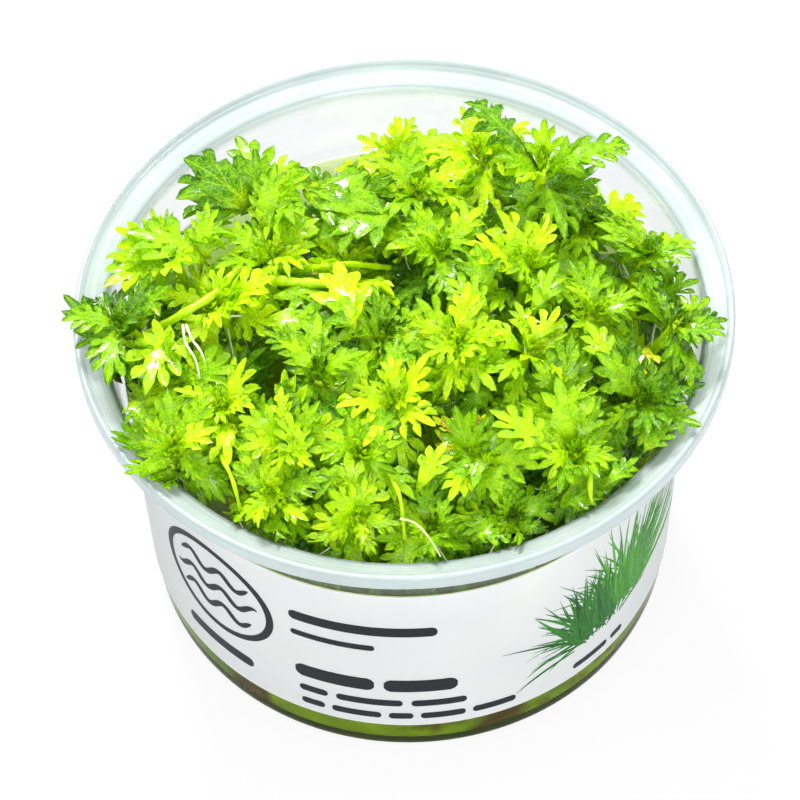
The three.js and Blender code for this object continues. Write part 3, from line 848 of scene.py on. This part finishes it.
# The tree that grows a rosette: a leaf shape on every point, bent along its midrib by the point's own angles
def makeLeafTree():
    tree, given = newTree("growLeaves", {
        "Leaf Shapes": "Collection", "Blade Thickness": "Float", "Waviness": "Float", "Seed": "Int",
        "Leaf Material": "Material"})
    along, across, leafLift, skin, rise, bend, length, roll, tone = readLeaf(
        tree, "FLOAT", "Along", "Across", "Lift", "Skin", "Rise", "Bend", "Length", "Roll", "Tone")
    place, *directions = readLeaf(tree, "FLOAT_VECTOR", "Root", "Out", "Side", "Axis")
    shapes = addNode(tree, "GeometryNodeCollectionInfo", None, {
        "Collection": given["Leaf Shapes"], "Separate Children": True, "Reset Children": True})
    placed = addNode(tree, "GeometryNodeInstanceOnPoints", None, {
        "Points": given["Geometry"], "Instance": shapes, "Pick Instance": True,
        "Instance Index": readLeaf(tree, "INT", "Shape")[0]})
    blades = addNode(tree, "GeometryNodeRealizeInstances", None, {"Geometry": placed})

    # where the leaf is on its arc, from its rise at the root to its rise at the tip
    slope = maths(tree, "MULTIPLY_ADD", bend, along, rise)
    (sine, cosine), (rootSine, rootCosine) = (
        [maths(tree, operation, angle) for operation in ("SINE", "COSINE")] for angle in (slope, rise))
    arcRadius = maths(tree, "DIVIDE", length, bend)
    reach = maths(tree, "MULTIPLY", arcRadius, maths(tree, "SUBTRACT", sine, rootSine))
    climb = maths(tree, "MULTIPLY", arcRadius, maths(tree, "SUBTRACT", rootCosine, cosine))

    # the blade's own relief, its thickness and a gentle wave that differs from leaf to leaf, by the tone
    waveAt = addNode(tree, "ShaderNodeCombineXYZ", None, {0: along, 1: across, 2: tone})
    stretched = vectorMaths(tree, "MULTIPLY", waveAt, leaves["waveStretch"])["Vector"]
    wave = addNode(tree, "ShaderNodeTexNoise", {"noise_dimensions": "4D"},
                   {"Vector": stretched, "W": given["Seed"], "Scale": leaves["waveScale"], "Detail": 1.0})
    grows = maths(tree, "MULTIPLY", maths(tree, "SUBTRACT", wave, 0.5), along)
    ripple = maths(tree, "MULTIPLY", grows, given["Waviness"])
    relief = maths(tree, "MULTIPLY_ADD", leafLift, length, ripple)
    halfBlade = maths(tree, "MULTIPLY", given["Blade Thickness"], 0.5)
    lift = maths(tree, "MULTIPLY_ADD", skin, halfBlade, relief)

    # the three distances along the leaf's own directions, then the sum
    width = maths(tree, "MULTIPLY", across, length)
    outward = maths(tree, "SUBTRACT", reach, maths(tree, "MULTIPLY", lift, sine))
    upward = maths(tree, "MULTIPLY_ADD", width, roll, maths(tree, "MULTIPLY_ADD", lift, cosine, climb))
    for direction, distance in zip(directions, (outward, width, upward)):
        part = addNode(tree, "ShaderNodeVectorMath", {"operation": "SCALE"},
                       {0: direction, "Scale": distance})
        place = vectorMaths(tree, "ADD", place, part)["Vector"]
    bent = addNode(tree, "GeometryNodeSetPosition", None, {"Geometry": blades, "Position": place})
    return finishTree(tree, bent, given["Leaf Material"])


# Rosettes

leaves = {
    "perRosette": 5, "goldenAngle": 137.508, "seed": 500, "axisSeed": 700,
    "riseLeast": 14, "riseGain": 48, "riseScatter": 14, "droopLeast": 30, "droopScatter": 30,
    "rollScatter": 30, "rankShortening": 0.28, "lengthLeast": 0.92, "lengthScatter": 0.2, "stepDown": 1.6,
    "toneGain": 0.1, "mainLoose": 0.5,
    "outer": ["broad", "wedge", "reflexed", "toothed", "narrow", "fan"],
    # More leaves in each rosette: shorter ones between the main ones, tight leaflets round the tip, older
    # leaves lower on the stem, and more towards the wall in the outermost rosettes. A pair is a start and its
    # change from leaf to leaf, or a range. "turn" is -1 where the tip droops, and 1 where it curls up.
    "sorts": [
        {"count": 5, "rise": (16, 32), "riseGain": 8, "length": (0.92, -0.072), "lengths": (0.8, 1.15),
         "turn": -1, "tip": (10, 50), "step": (0.9, -0.18), "roll": 28, "tone": (0.04, 0)},
        {"count": 8, "rise": (52, 64), "riseGain": 3.25, "length": (0.42, -0.0325), "turn": 1, "tip": (5, 40),
         "step": (-0.6, -0.1), "roll": 12, "tone": (0.1, 0), "shape": "young", "hearts": 5},
        # the lower leaves are painted darker with each step down, as the shade beneath the rosettes
        {"count": 9, "stepScatter": 0.6, "rise": (5, 35), "agedShare": 0.06, "lengths": (0.8, 1.0),
         "turn": -1, "tip": (20, 50), "step": (3, 2.1), "roll": 20, "tone": (-0.08, -0.04)},
        # the leaves towards the wall are also painted darker with each step down, as the shade beneath the
        # rosettes
        {"count": 5, "rise": (-5, 25), "wayScatter": 65, "lengths": (0.85, 1.05),
         "turn": -1, "tip": (0, 30), "step": (2.2, 1.7), "roll": 15, "tone": (-0.12, -0.05)},
    ],
    "wallReach": 29,  # rosettes farther out than this fill the gap to the wall
    "brightHeart": 0.45, "hearts": (-0.28, 0.08),  # a dim rosette's growing tip is painted darker, as shade deep in its heart, and a bright one's a little lighter
    "bladeThickness": 0.36, "waviness": 2.6, "waveStretch": (1.6, 2.2, 40.0), "waveScale": 1.3,
    "toneScatter": 0.18, "apartShade": -0.14, "axisScatter": 0.16, "brightest": 0.78, "aged": 0.93,
    "turnScatter": 26, "shiftScatter": 0.9, "tiltScatter": 0.2,  # keep the smaller leaves from a regular star
}
# How bright each rosette is, from 0 for deep green to 1 for yellow-green, in the order of the shoots
rosetteTones = [
    0.24, 0.56, 0.56, 0.76, 0.44, 0.66, 0.4, 0.78, 0.8, 0.54, 0.48, 0.8, 0.46, 0.42, 0.7, 0.57, 0.54, 0.3,
    0.62, 0.72, 0.42, 0.36, 0.5, 0.46, 0.26, 0.46, 0.34, 0.68, 0.52, 0.66, 0.38, 0.66, 0.54, 0.76, 0.52,
]
# Main leaves listed apart, by rosette: the way they point, length, rise at the base and at the tip, and shape
apartLeaves = {
    5: [(175, 15, 25, 5, "smooth"), (112, 12.5, 45, 15, "fan")],
    13: [(8, 14.5, 45, 14, "long"), (153, 17, 42, 8, "spoon")],
}
# Single big leaves: rosette, root (x, y, over the rim), way, length, rise at root and tip, shape, brightness
singleLeaves = [
    (1, (-43, -4.5, 3), -175, 8.5, 30, 0, "broad", 0.38),
    (1, (-43, -5.5, 3), -95, 11.5, 20, -10, "broad", 0.38),
    (2, (-41, -16.5, 0), -65, 8.5, 15, -15, "toothed", 0.4),
    (4, (-35, -6, 3), -105, 13.5, 20, -10, "broad", 0.62),
    (4, (-21, -3.5, 2), -20, 12, 20, -10, "broad", 0.45),
    (4, (-21, 0.5, 1), 5, 9.5, 20, -10, "wedge", 0.5),
    (3, (-29, 6.5, 2), 160, 14.5, 30, 0, "broad", 0.5),
    (3, (-30, 7.5, 2), 85, 9.5, 45, 20, "toothed", 0.52),
    (5, (-23, 18, 2), 150, 13, 40, 15, "smooth", 0.14),
    (5, (-21, 17.5, 3), 100, 9, 60, 35, "fan", 0.34),
    (5, (-15, 21, 2), -20, 14, 15, -15, "smooth", 0.34),
    (6, (-21, 13, 2), 75, 11, 55, 25, "toothed", 0.5),
    (7, (-1, 18.5, 1), -150, 14, 20, -10, "smooth", 0.34),
    (7, (-2.5, 14.5, 0), 155, 13, 30, 5, "fan", 0.32),
    (8, (-7.5, -10, 4), 99, 15, 14, -8, "fan", 0.74),
    (9, (0, 28.5, -3), 85, 9.5, 80, 50, "toothed", 0.86),
    (10, (0, 21.5, 0), 65, 9.5, 60, 30, "broad", 0.45),
    (14, (36, 5, 2), -15, 8.5, 35, 10, "broad", 0.34),
    (14, (36, 0, -3), 20, 10, 25, 0, "broad", 0.3),
    (14, (34, -3, -2), -10, 9, 25, -5, "wedge", 0.36),
    (15, (33, 9, -4), 25, 9.5, 25, 0, "broad", 0.4),
    (16, (13, -1.5, 2), 105, 9, 45, 20, "fan", 0.42),
    (18, (40, -9, 3), -25, 8.5, 30, 0, "broad", 0.32),
    (18, (42.5, -10.5, 1), -95, 8.5, 15, -15, "wedge", 0.3),
    (19, (18.5, -6.5, 2), 60, 11, 35, 10, "wedge", 0.48),
    (20, (13, -5, 3), 140, 9.5, 25, 0, "broad", 0.52),
    (22, (-15, -10, 1), 160, 7.5, 40, 10, "broad", 0.42),
    (22, (-11, -7.5, 0), 125, 8, 30, 0, "wedge", 0.35),
    (24, (20.5, -30, 2), 145, 11, 30, 0, "broad", 0.6),
    (24, (27.5, -35, -1), 40, 8, 20, -5, "wedge", 0.32),
    (24, (22, -36.5, -2), 0, 6, 25, -5, "broad", 0.3),
    (25, (31, -18, 3), 115, 10.5, 30, 5, "wedge", 0.58),
    (25, (34, -29.5, 0), 50, 8, 20, -5, "broad", 0.3),
    (26, (13.5, -30, 2), -155, 10.5, 10, -15, "fan", 0.4),
    (26, (8, -25, -1), 140, 6, 25, -5, "young", 0.97),
    (26, (8.5, -25, -1), 50, 5, 30, 0, "young", 0.98),
    (28, (-4.5, -17.5, 3), 50, 10.5, 30, 5, "wedge", 0.42),
    (31, (0.5, -36, 0), 55, 10, 40, 10, "wedge", 0.66),
    (31, (8.5, -40.5, -3), -15, 7.5, 20, -5, "broad", 0.36),
    (33, (-21.5, -32, 0), 110, 9, 35, 5, "wedge", 0.4),
    (32, (-15.5, -31, 2), 105, 9, 35, 5, "broad", 0.6),
    (35, (-33.5, -25, 1), 50, 9.5, 35, 5, "wedge", 0.72),
    (35, (-38, -25.5, 0), -55, 6.5, 5, -20, "wedge", 0.6),
]


def leavesOf(rosette, index, tone):
    chance = np.random.default_rng(leaves["seed"] + index)
    rows = []

    def add(way, length, rise, tipRise, step, roll, shape, toneShift, loose=1.0):
        shift = chance.uniform(-1, 1, 2) * leaves["shiftScatter"] * loose
        tilt = chance.normal(0, 1, 2) * leaves["tiltScatter"] * loose
        way += chance.uniform(-1, 1) * leaves["turnScatter"] * loose
        ownTone = tone + toneShift + chance.uniform(-1, 1) * leaves["toneScatter"]
        rows.append({"way": way, "length": length, "rise": rise, "tipRise": tipRise, "step": step,
                     "roll": roll, "shape": shapeNumber[shape], "shift": shift, "tilt": tilt,
                     "tone": min(max(ownTone, 0), leaves["brightest"])})

    def outerShape():
        return leaves["outer"][chance.integers(len(leaves["outer"]))]

    x, y, _, leaf = rosette
    for way, length, rise, tipRise, shape in apartLeaves.get(index, []):
        add(way, length, rise, tipRise, 0, 0, shape, leaves["apartShade"], 0)
    firstWay = 360 * scatter(index, 0, "way")
    for k in range(leaves["perRosette"] - len(rows)):
        rank = k / (leaves["perRosette"] - 1)
        rise, length, droop = (
            leaves[trait + "Least"] + leaves[trait + "Scatter"] * scatter(index, k, trait)
            for trait in ("rise", "length", "droop"))
        rise += leaves["riseGain"] * rank
        add(firstWay + k * leaves["goldenAngle"], leaf * length * (1 - leaves["rankShortening"] * rank),
            rise, rise - droop, leaves["stepDown"] * (1 - rank),
            leaves["rollScatter"] * (scatter(index, k, "roll") - 0.5), outerShape(),
            leaves["toneGain"] * rank, leaves["mainLoose"])
    way = firstWay + leaves["perRosette"] * leaves["goldenAngle"]
    for sort in leaves["sorts"]:
        wallward = "wayScatter" in sort
        if wallward and math.hypot(x, y) <= leaves["wallReach"]:
            continue
        for k in range(sort["count"]):
            start, change = sort["step"]
            step = start + change * k
            if "stepScatter" in sort:
                step += chance.uniform(-sort["stepScatter"], sort["stepScatter"])
            rise = chance.uniform(*sort["rise"]) + sort.get("riseGain", 0) * k
            aged = "agedShare" in sort and chance.uniform() < sort["agedShare"]
            if wallward:
                way = math.degrees(math.atan2(y, x)) + chance.uniform(-sort["wayScatter"], sort["wayScatter"])
            start, change = sort.get("length", (1, 0))
            length = leaf * (start + change * k)
            if "lengths" in sort:
                length *= chance.uniform(*sort["lengths"])
            start, change = sort["tone"]
            toneShift = start + change * k
            # painted shade: the growing tips of a dim rosette are darker
            if k < sort.get("hearts", 0):
                toneShift = leaves["hearts"][tone > leaves["brightHeart"]]
            add(way, length, rise, rise + sort["turn"] * chance.uniform(*sort["tip"]), step,
                chance.uniform(-sort["roll"], sort["roll"]), sort.get("shape") or outerShape(), toneShift)
            if aged:
                rows[-1]["tone"] = leaves["aged"]
            way += leaves["goldenAngle"]
    return rows


def makeRosette(index, rosette, tone, tree, material):
    axis, centre = rosetteAxis(rosette), overRim(rosette)
    if index not in apartLeaves:
        lean = np.random.default_rng(leaves["axisSeed"] + index).normal(0, leaves["axisScatter"], 2)
        axis = (axis + Vector((lean[0], lean[1], 0))).normalized()
    side = axis.cross(Vector((1, 0, 0))).normalized()
    front = side.cross(axis)
    rows = leavesOf(rosette, index, tone)
    vectors = {"leafRoot": [], "leafOut": [], "leafSide": [], "leafAxis": []}

    def addFrame(root, up, out):
        out = (out - up * out.dot(up)).normalized()
        for values, vector in zip(vectors.values(), (root * mm, out, up.cross(out), up)):
            values.append(tuple(vector))

    for row in rows:
        way = math.radians(row["way"])
        addFrame(centre - axis * row["step"] + front * row["shift"][0] + side * row["shift"][1],
                 (axis + front * row["tilt"][0] + side * row["tilt"][1]).normalized(),
                 front * math.cos(way) + side * math.sin(way))
    for owner, place, way, length, rise, tipRise, shape, ownTone in singleLeaves:
        if owner == index:
            rows.append({"length": length, "rise": rise, "tipRise": tipRise, "roll": 0,
                         "shape": shapeNumber[shape], "tone": ownTone})
            way = math.radians(way)
            addFrame(overRim(place), Vector((0, 0, 1)), Vector((math.cos(way), math.sin(way), 0)))
    name = f"leaf_rosette_{index:02d}"
    seed = newMesh(name, [(0, 0, 0)] * len(rows), [])
    for trait, values in vectors.items():
        setValues(seed, trait, np.array(values, np.float32).ravel(), "FLOAT_VECTOR")
    setValues(seed, "leafRise", [math.radians(row["rise"]) for row in rows])
    setValues(seed, "leafBend", [math.radians(row["tipRise"] - row["rise"]) for row in rows])
    setValues(seed, "leafLength", [row["length"] * mm for row in rows])
    setValues(seed, "leafRoll", [math.tan(math.radians(row["roll"])) for row in rows])
    setValues(seed, "leafTone", [row["tone"] for row in rows])
    setValues(seed, "leafShape", [row["shape"] for row in rows], "INT")
    mesh = grow("blades_" + name, seed, tree, {
        "Leaf Shapes": shapeCollection, "Blade Thickness": leaves["bladeThickness"] * mm,
        "Waviness": leaves["waviness"] * mm, "Seed": index, "Leaf Material": material})
    places = np.zeros(len(mesh.vertices) * 3, np.float32)
    mesh.vertices.foreach_get("co", places)
    places = keepClear(places.reshape(-1, 3).astype(float) / mm) * mm
    mesh.vertices.foreach_set("co", places.astype(np.float32).ravel())
    mesh.update()
    piece = newPiece("blades_" + name, mesh)
    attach(piece, "root")
    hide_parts(name)


leafMaterial, leafTree = makeLeafMaterial(), makeLeafTree()
rosettes = [rosette for shoot in plant["shoots"] for rosette in shoot]
for i, rosette in enumerate(rosettes):
    makeRosette(i + 1, rosette, rosetteTones[i], leafTree, leafMaterial)
print("rosettes made:", len(rosettes))


# Stems and roots

stems = {
    "radius": 0.85, "taper": 0.15, "footDepth": 4, "footPull": 0.86, "footLimit": 37, "forkAt": 0.45,
    "bendShare": 0.5, "sides": 10, "steps": 22, "knotSpacing": 4.2, "knotSwelling": 0.16, "knotShift": 0.37,
    "rootRadius": 0.17, "rootTaper": 0.6, "rootsPerStem": 2, "rootLength": (10, 20), "rootSteps": 10,
    "rootAt": (0.78, 0.95), "rootRise": (-0.1, 0.5), "rootSway": 0.5,
    "runnerSteps": 24, "runnerTaper": 0.25, "seed": 900,
    # creeping stems and pale roots that show between the leaves: stem, radius, root share, route
    "runners": [
        (2, 0.7, 0, [(-40, -3, -3), (-33, -3, 3), (-28.5, 0, 3.5), (-24.5, 5, 3), (-20, 7, -3)]),
        (21, 0.38, 0, [(-28.5, -23, -3), (-27, -29.5, 2), (-25.5, -33.5, 2), (-24.5, -36, -4)]),
        (18, 0.4, 0, [(-4.5, -27, -3), (-3, -32.5, 1), (-1.5, -36.5, 1), (-1, -40, -5)]),
        (17, 0.8, 0, [(-9, -23.5, 2), (-7, -24.5, 3), (-4.5, -23.5, 1)]),
        (14, 0.45, 0, [(19, -33.5, -4), (23.5, -32.5, 1), (26, -33, 1), (26, -35.5, 0), (26.5, -37.5, -5)]),
        (4, 0.8, 0, [(-16, 16, -1), (-13, 14.5, 0), (-10, 12, -1), (-8.5, 10, -4)]),
        (4, 0.8, 0, [(-24, 9, -4), (-19, 3.5, 2), (-14.5, 2.5, 2.5), (-9.5, 2.5, 1.5), (-3, 6, -4)]),
        (3, 0.6, 0, [(-20, 10.5, -5), (-13, 6.5, 1), (-8.5, 7, 1), (-2, 10, -4)]),
        (12, 0.22, 0.8, [(16.5, -5, 3), (19, -7, 4), (21.5, -8.5, 4), (24, -8, 3)]),
        (19, 0.16, 0.7, [(-1.5, -41.5, 3), (0.5, -43, 4), (2.5, -45, 3), (4, -45.5, -1)]),
        (2, 0.2, 1, [(-33, -6, 4), (-32.5, -10, 5), (-31, -13, 4.5), (-30.5, -15, 2.5)]),
        (2, 0.2, 1, [(-32.5, -6, 4), (-31.5, -9.5, 5), (-30, -12, 4.5), (-29.5, -14, 2)]),
    ],
}


# Stem skin: juicy and bright yellow-green, streaked along its length, glossy and a little see-through
def makeStemMaterial():
    material, tree, place = newMaterial("juicyStemSkin")
    stretched = addNode(tree, "ShaderNodeMapping", None, {"Vector": place, "Scale": (1.0, 1.0, 0.2)})
    streaks = noise(tree, stretched, 1500.0)  # 0.7 mm wide and 3 mm long
    green = ramp(tree, streaks, (0.3, "#aeda00"), (0.7, "#d6f208"))
    colour = blend(tree, attribute(tree, "rootShare"), green, "#f0f4cc")
    shader = principled(tree, {
        "Base Color": colour, "Roughness": remap(tree, streaks, 0.0, 1.0, 0.25, 0.45),
        "Normal": bumps(tree, streaks, 0.3, 0.1), "IOR": 1.4, "Coat Weight": 0.4, "Coat Roughness": 0.15})
    show(tree, letThrough(tree, 0.35, shader, colour))
    return material


# The tree that gives a route its round section, with a knot wherever a leaf once sat
def makeStemTree():
    tree, given = newTree("growStems", {
        "Sides": "Int", "Knot Spacing": "Float", "Knot Swelling": "Float", "Knot Shift": "Float",
        "Stem Material": "Material"})
    route = addNode(tree, "GeometryNodeMeshToCurve", None, {"Mesh": given["Geometry"]})
    along = addNode(tree, "GeometryNodeSplineParameter").outputs["Length"]
    knots = maths(tree, "ADD", maths(tree, "DIVIDE", along, given["Knot Spacing"]), given["Knot Shift"])
    wave = maths(tree, "COSINE", maths(tree, "MULTIPLY", knots, 2 * math.pi))
    swelling = maths(tree, "MULTIPLY_ADD", wave, given["Knot Swelling"], 1.0)
    radius = maths(tree, "MULTIPLY", readAttribute(tree, "FLOAT", "stemThickness"), swelling)
    sized = addNode(tree, "GeometryNodeSetCurveRadius", None, {"Curve": route, "Radius": radius})
    section = addNode(tree, "GeometryNodeCurvePrimitiveCircle", None,
                      {"Resolution": given["Sides"], "Radius": 1.0})
    tube = addNode(tree, "GeometryNodeCurveToMesh", None,
                   {"Curve": sized, "Profile Curve": section, "Scale": radius, "Fill Caps": True})
    return finishTree(tree, tube, given["Stem Material"])


def clearOf(point):
    return Vector(keepClear(np.array([tuple(point)]))[0])


# A smooth route through places given as (x, y, height over the rim)
def throughPoints(places, shares):
    knots = np.array([places[0]] + list(places) + [places[-1]], float) + (0, 0, cup["height"])
    route = []
    for share in shares:
        part = min(int(share * (len(places) - 1)), len(places) - 2)
        t = share * (len(places) - 1) - part
        a, b, c, d = knots[part:part + 4]
        route.append(clearOf(0.5 * (2 * b + (c - a) * t + (2 * a - 5 * b + 4 * c - d) * t ** 2
                                    + (3 * b - a - 3 * c + d) * t ** 3)))
    return route


# The routes of one plant's stems, roots and runners, each with its radii and its root share
def stemRoutes(shoot, index):
    chance = np.random.default_rng(stems["seed"] + index)
    x, y = shoot[0][:2]
    pull = min(stems["footPull"], stems["footLimit"] / math.hypot(x, y))
    start = Vector((x * pull, y * pull, gel["height"] - stems["footDepth"]))
    routes = []

    def addRoute(points, shares, radius, taper, rootShare):
        routes.append((points, [radius * (1 - taper * t) for t in shares], rootShare))

    for number, rosette in enumerate(shoot):
        end = overRim(rosette)
        if number:
            start = forkPoint
        bend = clearOf(end - rosetteAxis(rosette) * (end.z - start.z) * stems["bendShare"])
        if not number:
            forkPoint = arcPoint(start, bend, end, stems["forkAt"])
        shares = [i / stems["steps"] for i in range(stems["steps"] + 1)]
        addRoute([arcPoint(start, bend, end, t) for t in shares], shares, stems["radius"], stems["taper"], 0)
        shares = np.linspace(0, 1, stems["rootSteps"])
        for _ in range(stems["rootsPerStem"]):
            first = arcPoint(start, bend, end, chance.uniform(*stems["rootAt"]))
            angle = chance.uniform(0, 2 * math.pi)
            half = chance.uniform(*stems["rootLength"]) * 0.5
            away = Vector((math.cos(angle), math.sin(angle), chance.uniform(*stems["rootRise"])))
            down = Vector((chance.normal(0, stems["rootSway"]), chance.normal(0, stems["rootSway"]), -1))
            elbow = first + away * half
            addRoute([clearOf(arcPoint(first, elbow, elbow + down * half, t)) for t in shares], shares,
                     stems["rootRadius"], stems["rootTaper"], 1)
    shares = np.linspace(0, 1, stems["runnerSteps"])
    for owner, radius, rootShare, places in stems["runners"]:
        if owner == index:
            addRoute(throughPoints(places, shares), shares, radius, stems["runnerTaper"], rootShare)
    return routes


def makeStem(index, shoot, tree, material):
    name = f"stem_{index:02d}"
    points, edges, thickness, rootShares = [], [], [], []
    for route, radii, rootShare in stemRoutes(shoot, index):
        edges += [(len(points) + i, len(points) + i + 1) for i in range(len(route) - 1)]
        points += route
        thickness += [radius * mm for radius in radii]
        rootShares += [rootShare] * len(route)
    seed = newMesh(name, points, [], edges)
    setValues(seed, "stemThickness", thickness)
    setValues(seed, "rootShare", rootShares)
    mesh = grow("juicy_" + name, seed, tree, {
        "Sides": stems["sides"], "Knot Spacing": stems["knotSpacing"] * mm,
        "Knot Swelling": stems["knotSwelling"], "Knot Shift": index * stems["knotShift"],
        "Stem Material": material})
    smooth(mesh, 60)
    piece = newPiece("juicy_" + name, mesh)
    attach(piece, "root")
    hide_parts(name)


stemMaterial, stemTree = makeStemMaterial(), makeStemTree()
for i, shoot in enumerate(plant["shoots"]):
    makeStem(i + 1, shoot, stemTree, stemMaterial)
for shapeObject in list(shapeCollection.objects):
    bpy.data.objects.remove(shapeObject)
bpy.data.collections.remove(shapeCollection)
print("stems made:", len(plant["shoots"]))


# Studio

studio = {
    "floorSize": 3.0, "floorDrop": 0.0002, "floorGlow": 0.96, "floorGlowShare": 0.93,
    "cameraPlace": (-1.05, -308.9, 455.7), "cameraTilt": 53.63, "cameraRoll": -1.89, "lens": 149.35,
    "sensor": 36, "clip": (0.01, 20), "worldStrength": 1.65, "lightAim": (0, 0, 0.04),
    "lights": [  # place in metres, size in metres, power in watts, colour
        ((-0.15, 0.58, 0.82), 0.28, 14.5, "#ffffff"),
        ((0.1, -0.75, 0.6), 0.5, 4.4, "#ffffff"),
    ],
}


# Lit studio floor: matt acrylic sheet glowing from below, near white with a faint cloudiness, with hardly
# a shadow
def makeFloorSheet():
    material, tree, place = newMaterial("litAcrylicFloor")
    tone = ramp(tree, noise(tree, place, 3.0), (0.3, "#fafafa"), (0.7, "#ffffff"))
    matt = principled(tree, {"Base Color": tone, "Roughness": 0.9, "Specular IOR Level": 0.1})
    glow = addNode(tree, "ShaderNodeEmission", None, {"Color": tone, "Strength": studio["floorGlow"]})
    show(tree, mixShaders(tree, studio["floorGlowShare"], matt, glow))
    return material


def makeStudio():
    half, drop = studio["floorSize"] / 2, -studio["floorDrop"]
    floorMesh = bpy.data.meshes.new("floor")
    corners = [(-half, -half, drop), (half, -half, drop), (half, half, drop), (-half, half, drop)]
    floorMesh.from_pydata(corners, [], [[0, 1, 2, 3]])
    newPiece("studio_floor", floorMesh, makeFloorSheet())

    for number, (place, size, power, colour) in enumerate(studio["lights"]):
        lamp = bpy.data.lights.new(f"softbox{number}", "AREA")
        lamp.size, lamp.energy, lamp.color = size, power, linearColour(colour)[:3]
        holder = bpy.data.objects.new(lamp.name, lamp)
        holder.location = place
        aim = Vector(studio["lightAim"]) - Vector(place)
        holder.rotation_euler = aim.to_track_quat("-Z", "Y").to_euler()
        scene.collection.objects.link(holder)

    world = bpy.data.worlds.new("whiteRoom")
    scene.world = world
    world.use_nodes = True
    tree = world.node_tree
    tree.nodes.clear()
    height = heightOf(tree, addNode(tree, "ShaderNodeTexCoord").outputs["Generated"])
    sky = ramp(tree, height, (0.0, "#ffffff"), (0.08, "#d2dbde"), (0.3, "#f6fafa"), (0.7, "#eef2f3"))
    light = addNode(tree, "ShaderNodeBackground", None, {"Color": sky, "Strength": studio["worldStrength"]})
    addNode(tree, "ShaderNodeOutputWorld", None, {"Surface": light})

    lens = bpy.data.cameras.new("camera")
    lens.lens, lens.sensor_width, lens.sensor_fit = studio["lens"], studio["sensor"], "HORIZONTAL"
    lens.clip_start, lens.clip_end = studio["clip"]
    camera = bpy.data.objects.new("camera", lens)
    tilt, roll = math.radians(90 - studio["cameraTilt"]), math.radians(studio["cameraRoll"])
    camera.rotation_euler = (Matrix.Rotation(tilt, 3, "X") @ Matrix.Rotation(roll, 3, "Z")).to_euler()
    camera.location = Vector(studio["cameraPlace"]) * mm
    scene.collection.objects.link(camera)
    scene.camera = camera
    scene.view_settings.view_transform = "Standard"
    scene.view_settings.look = "None"


makeStudio()
print("studio made")
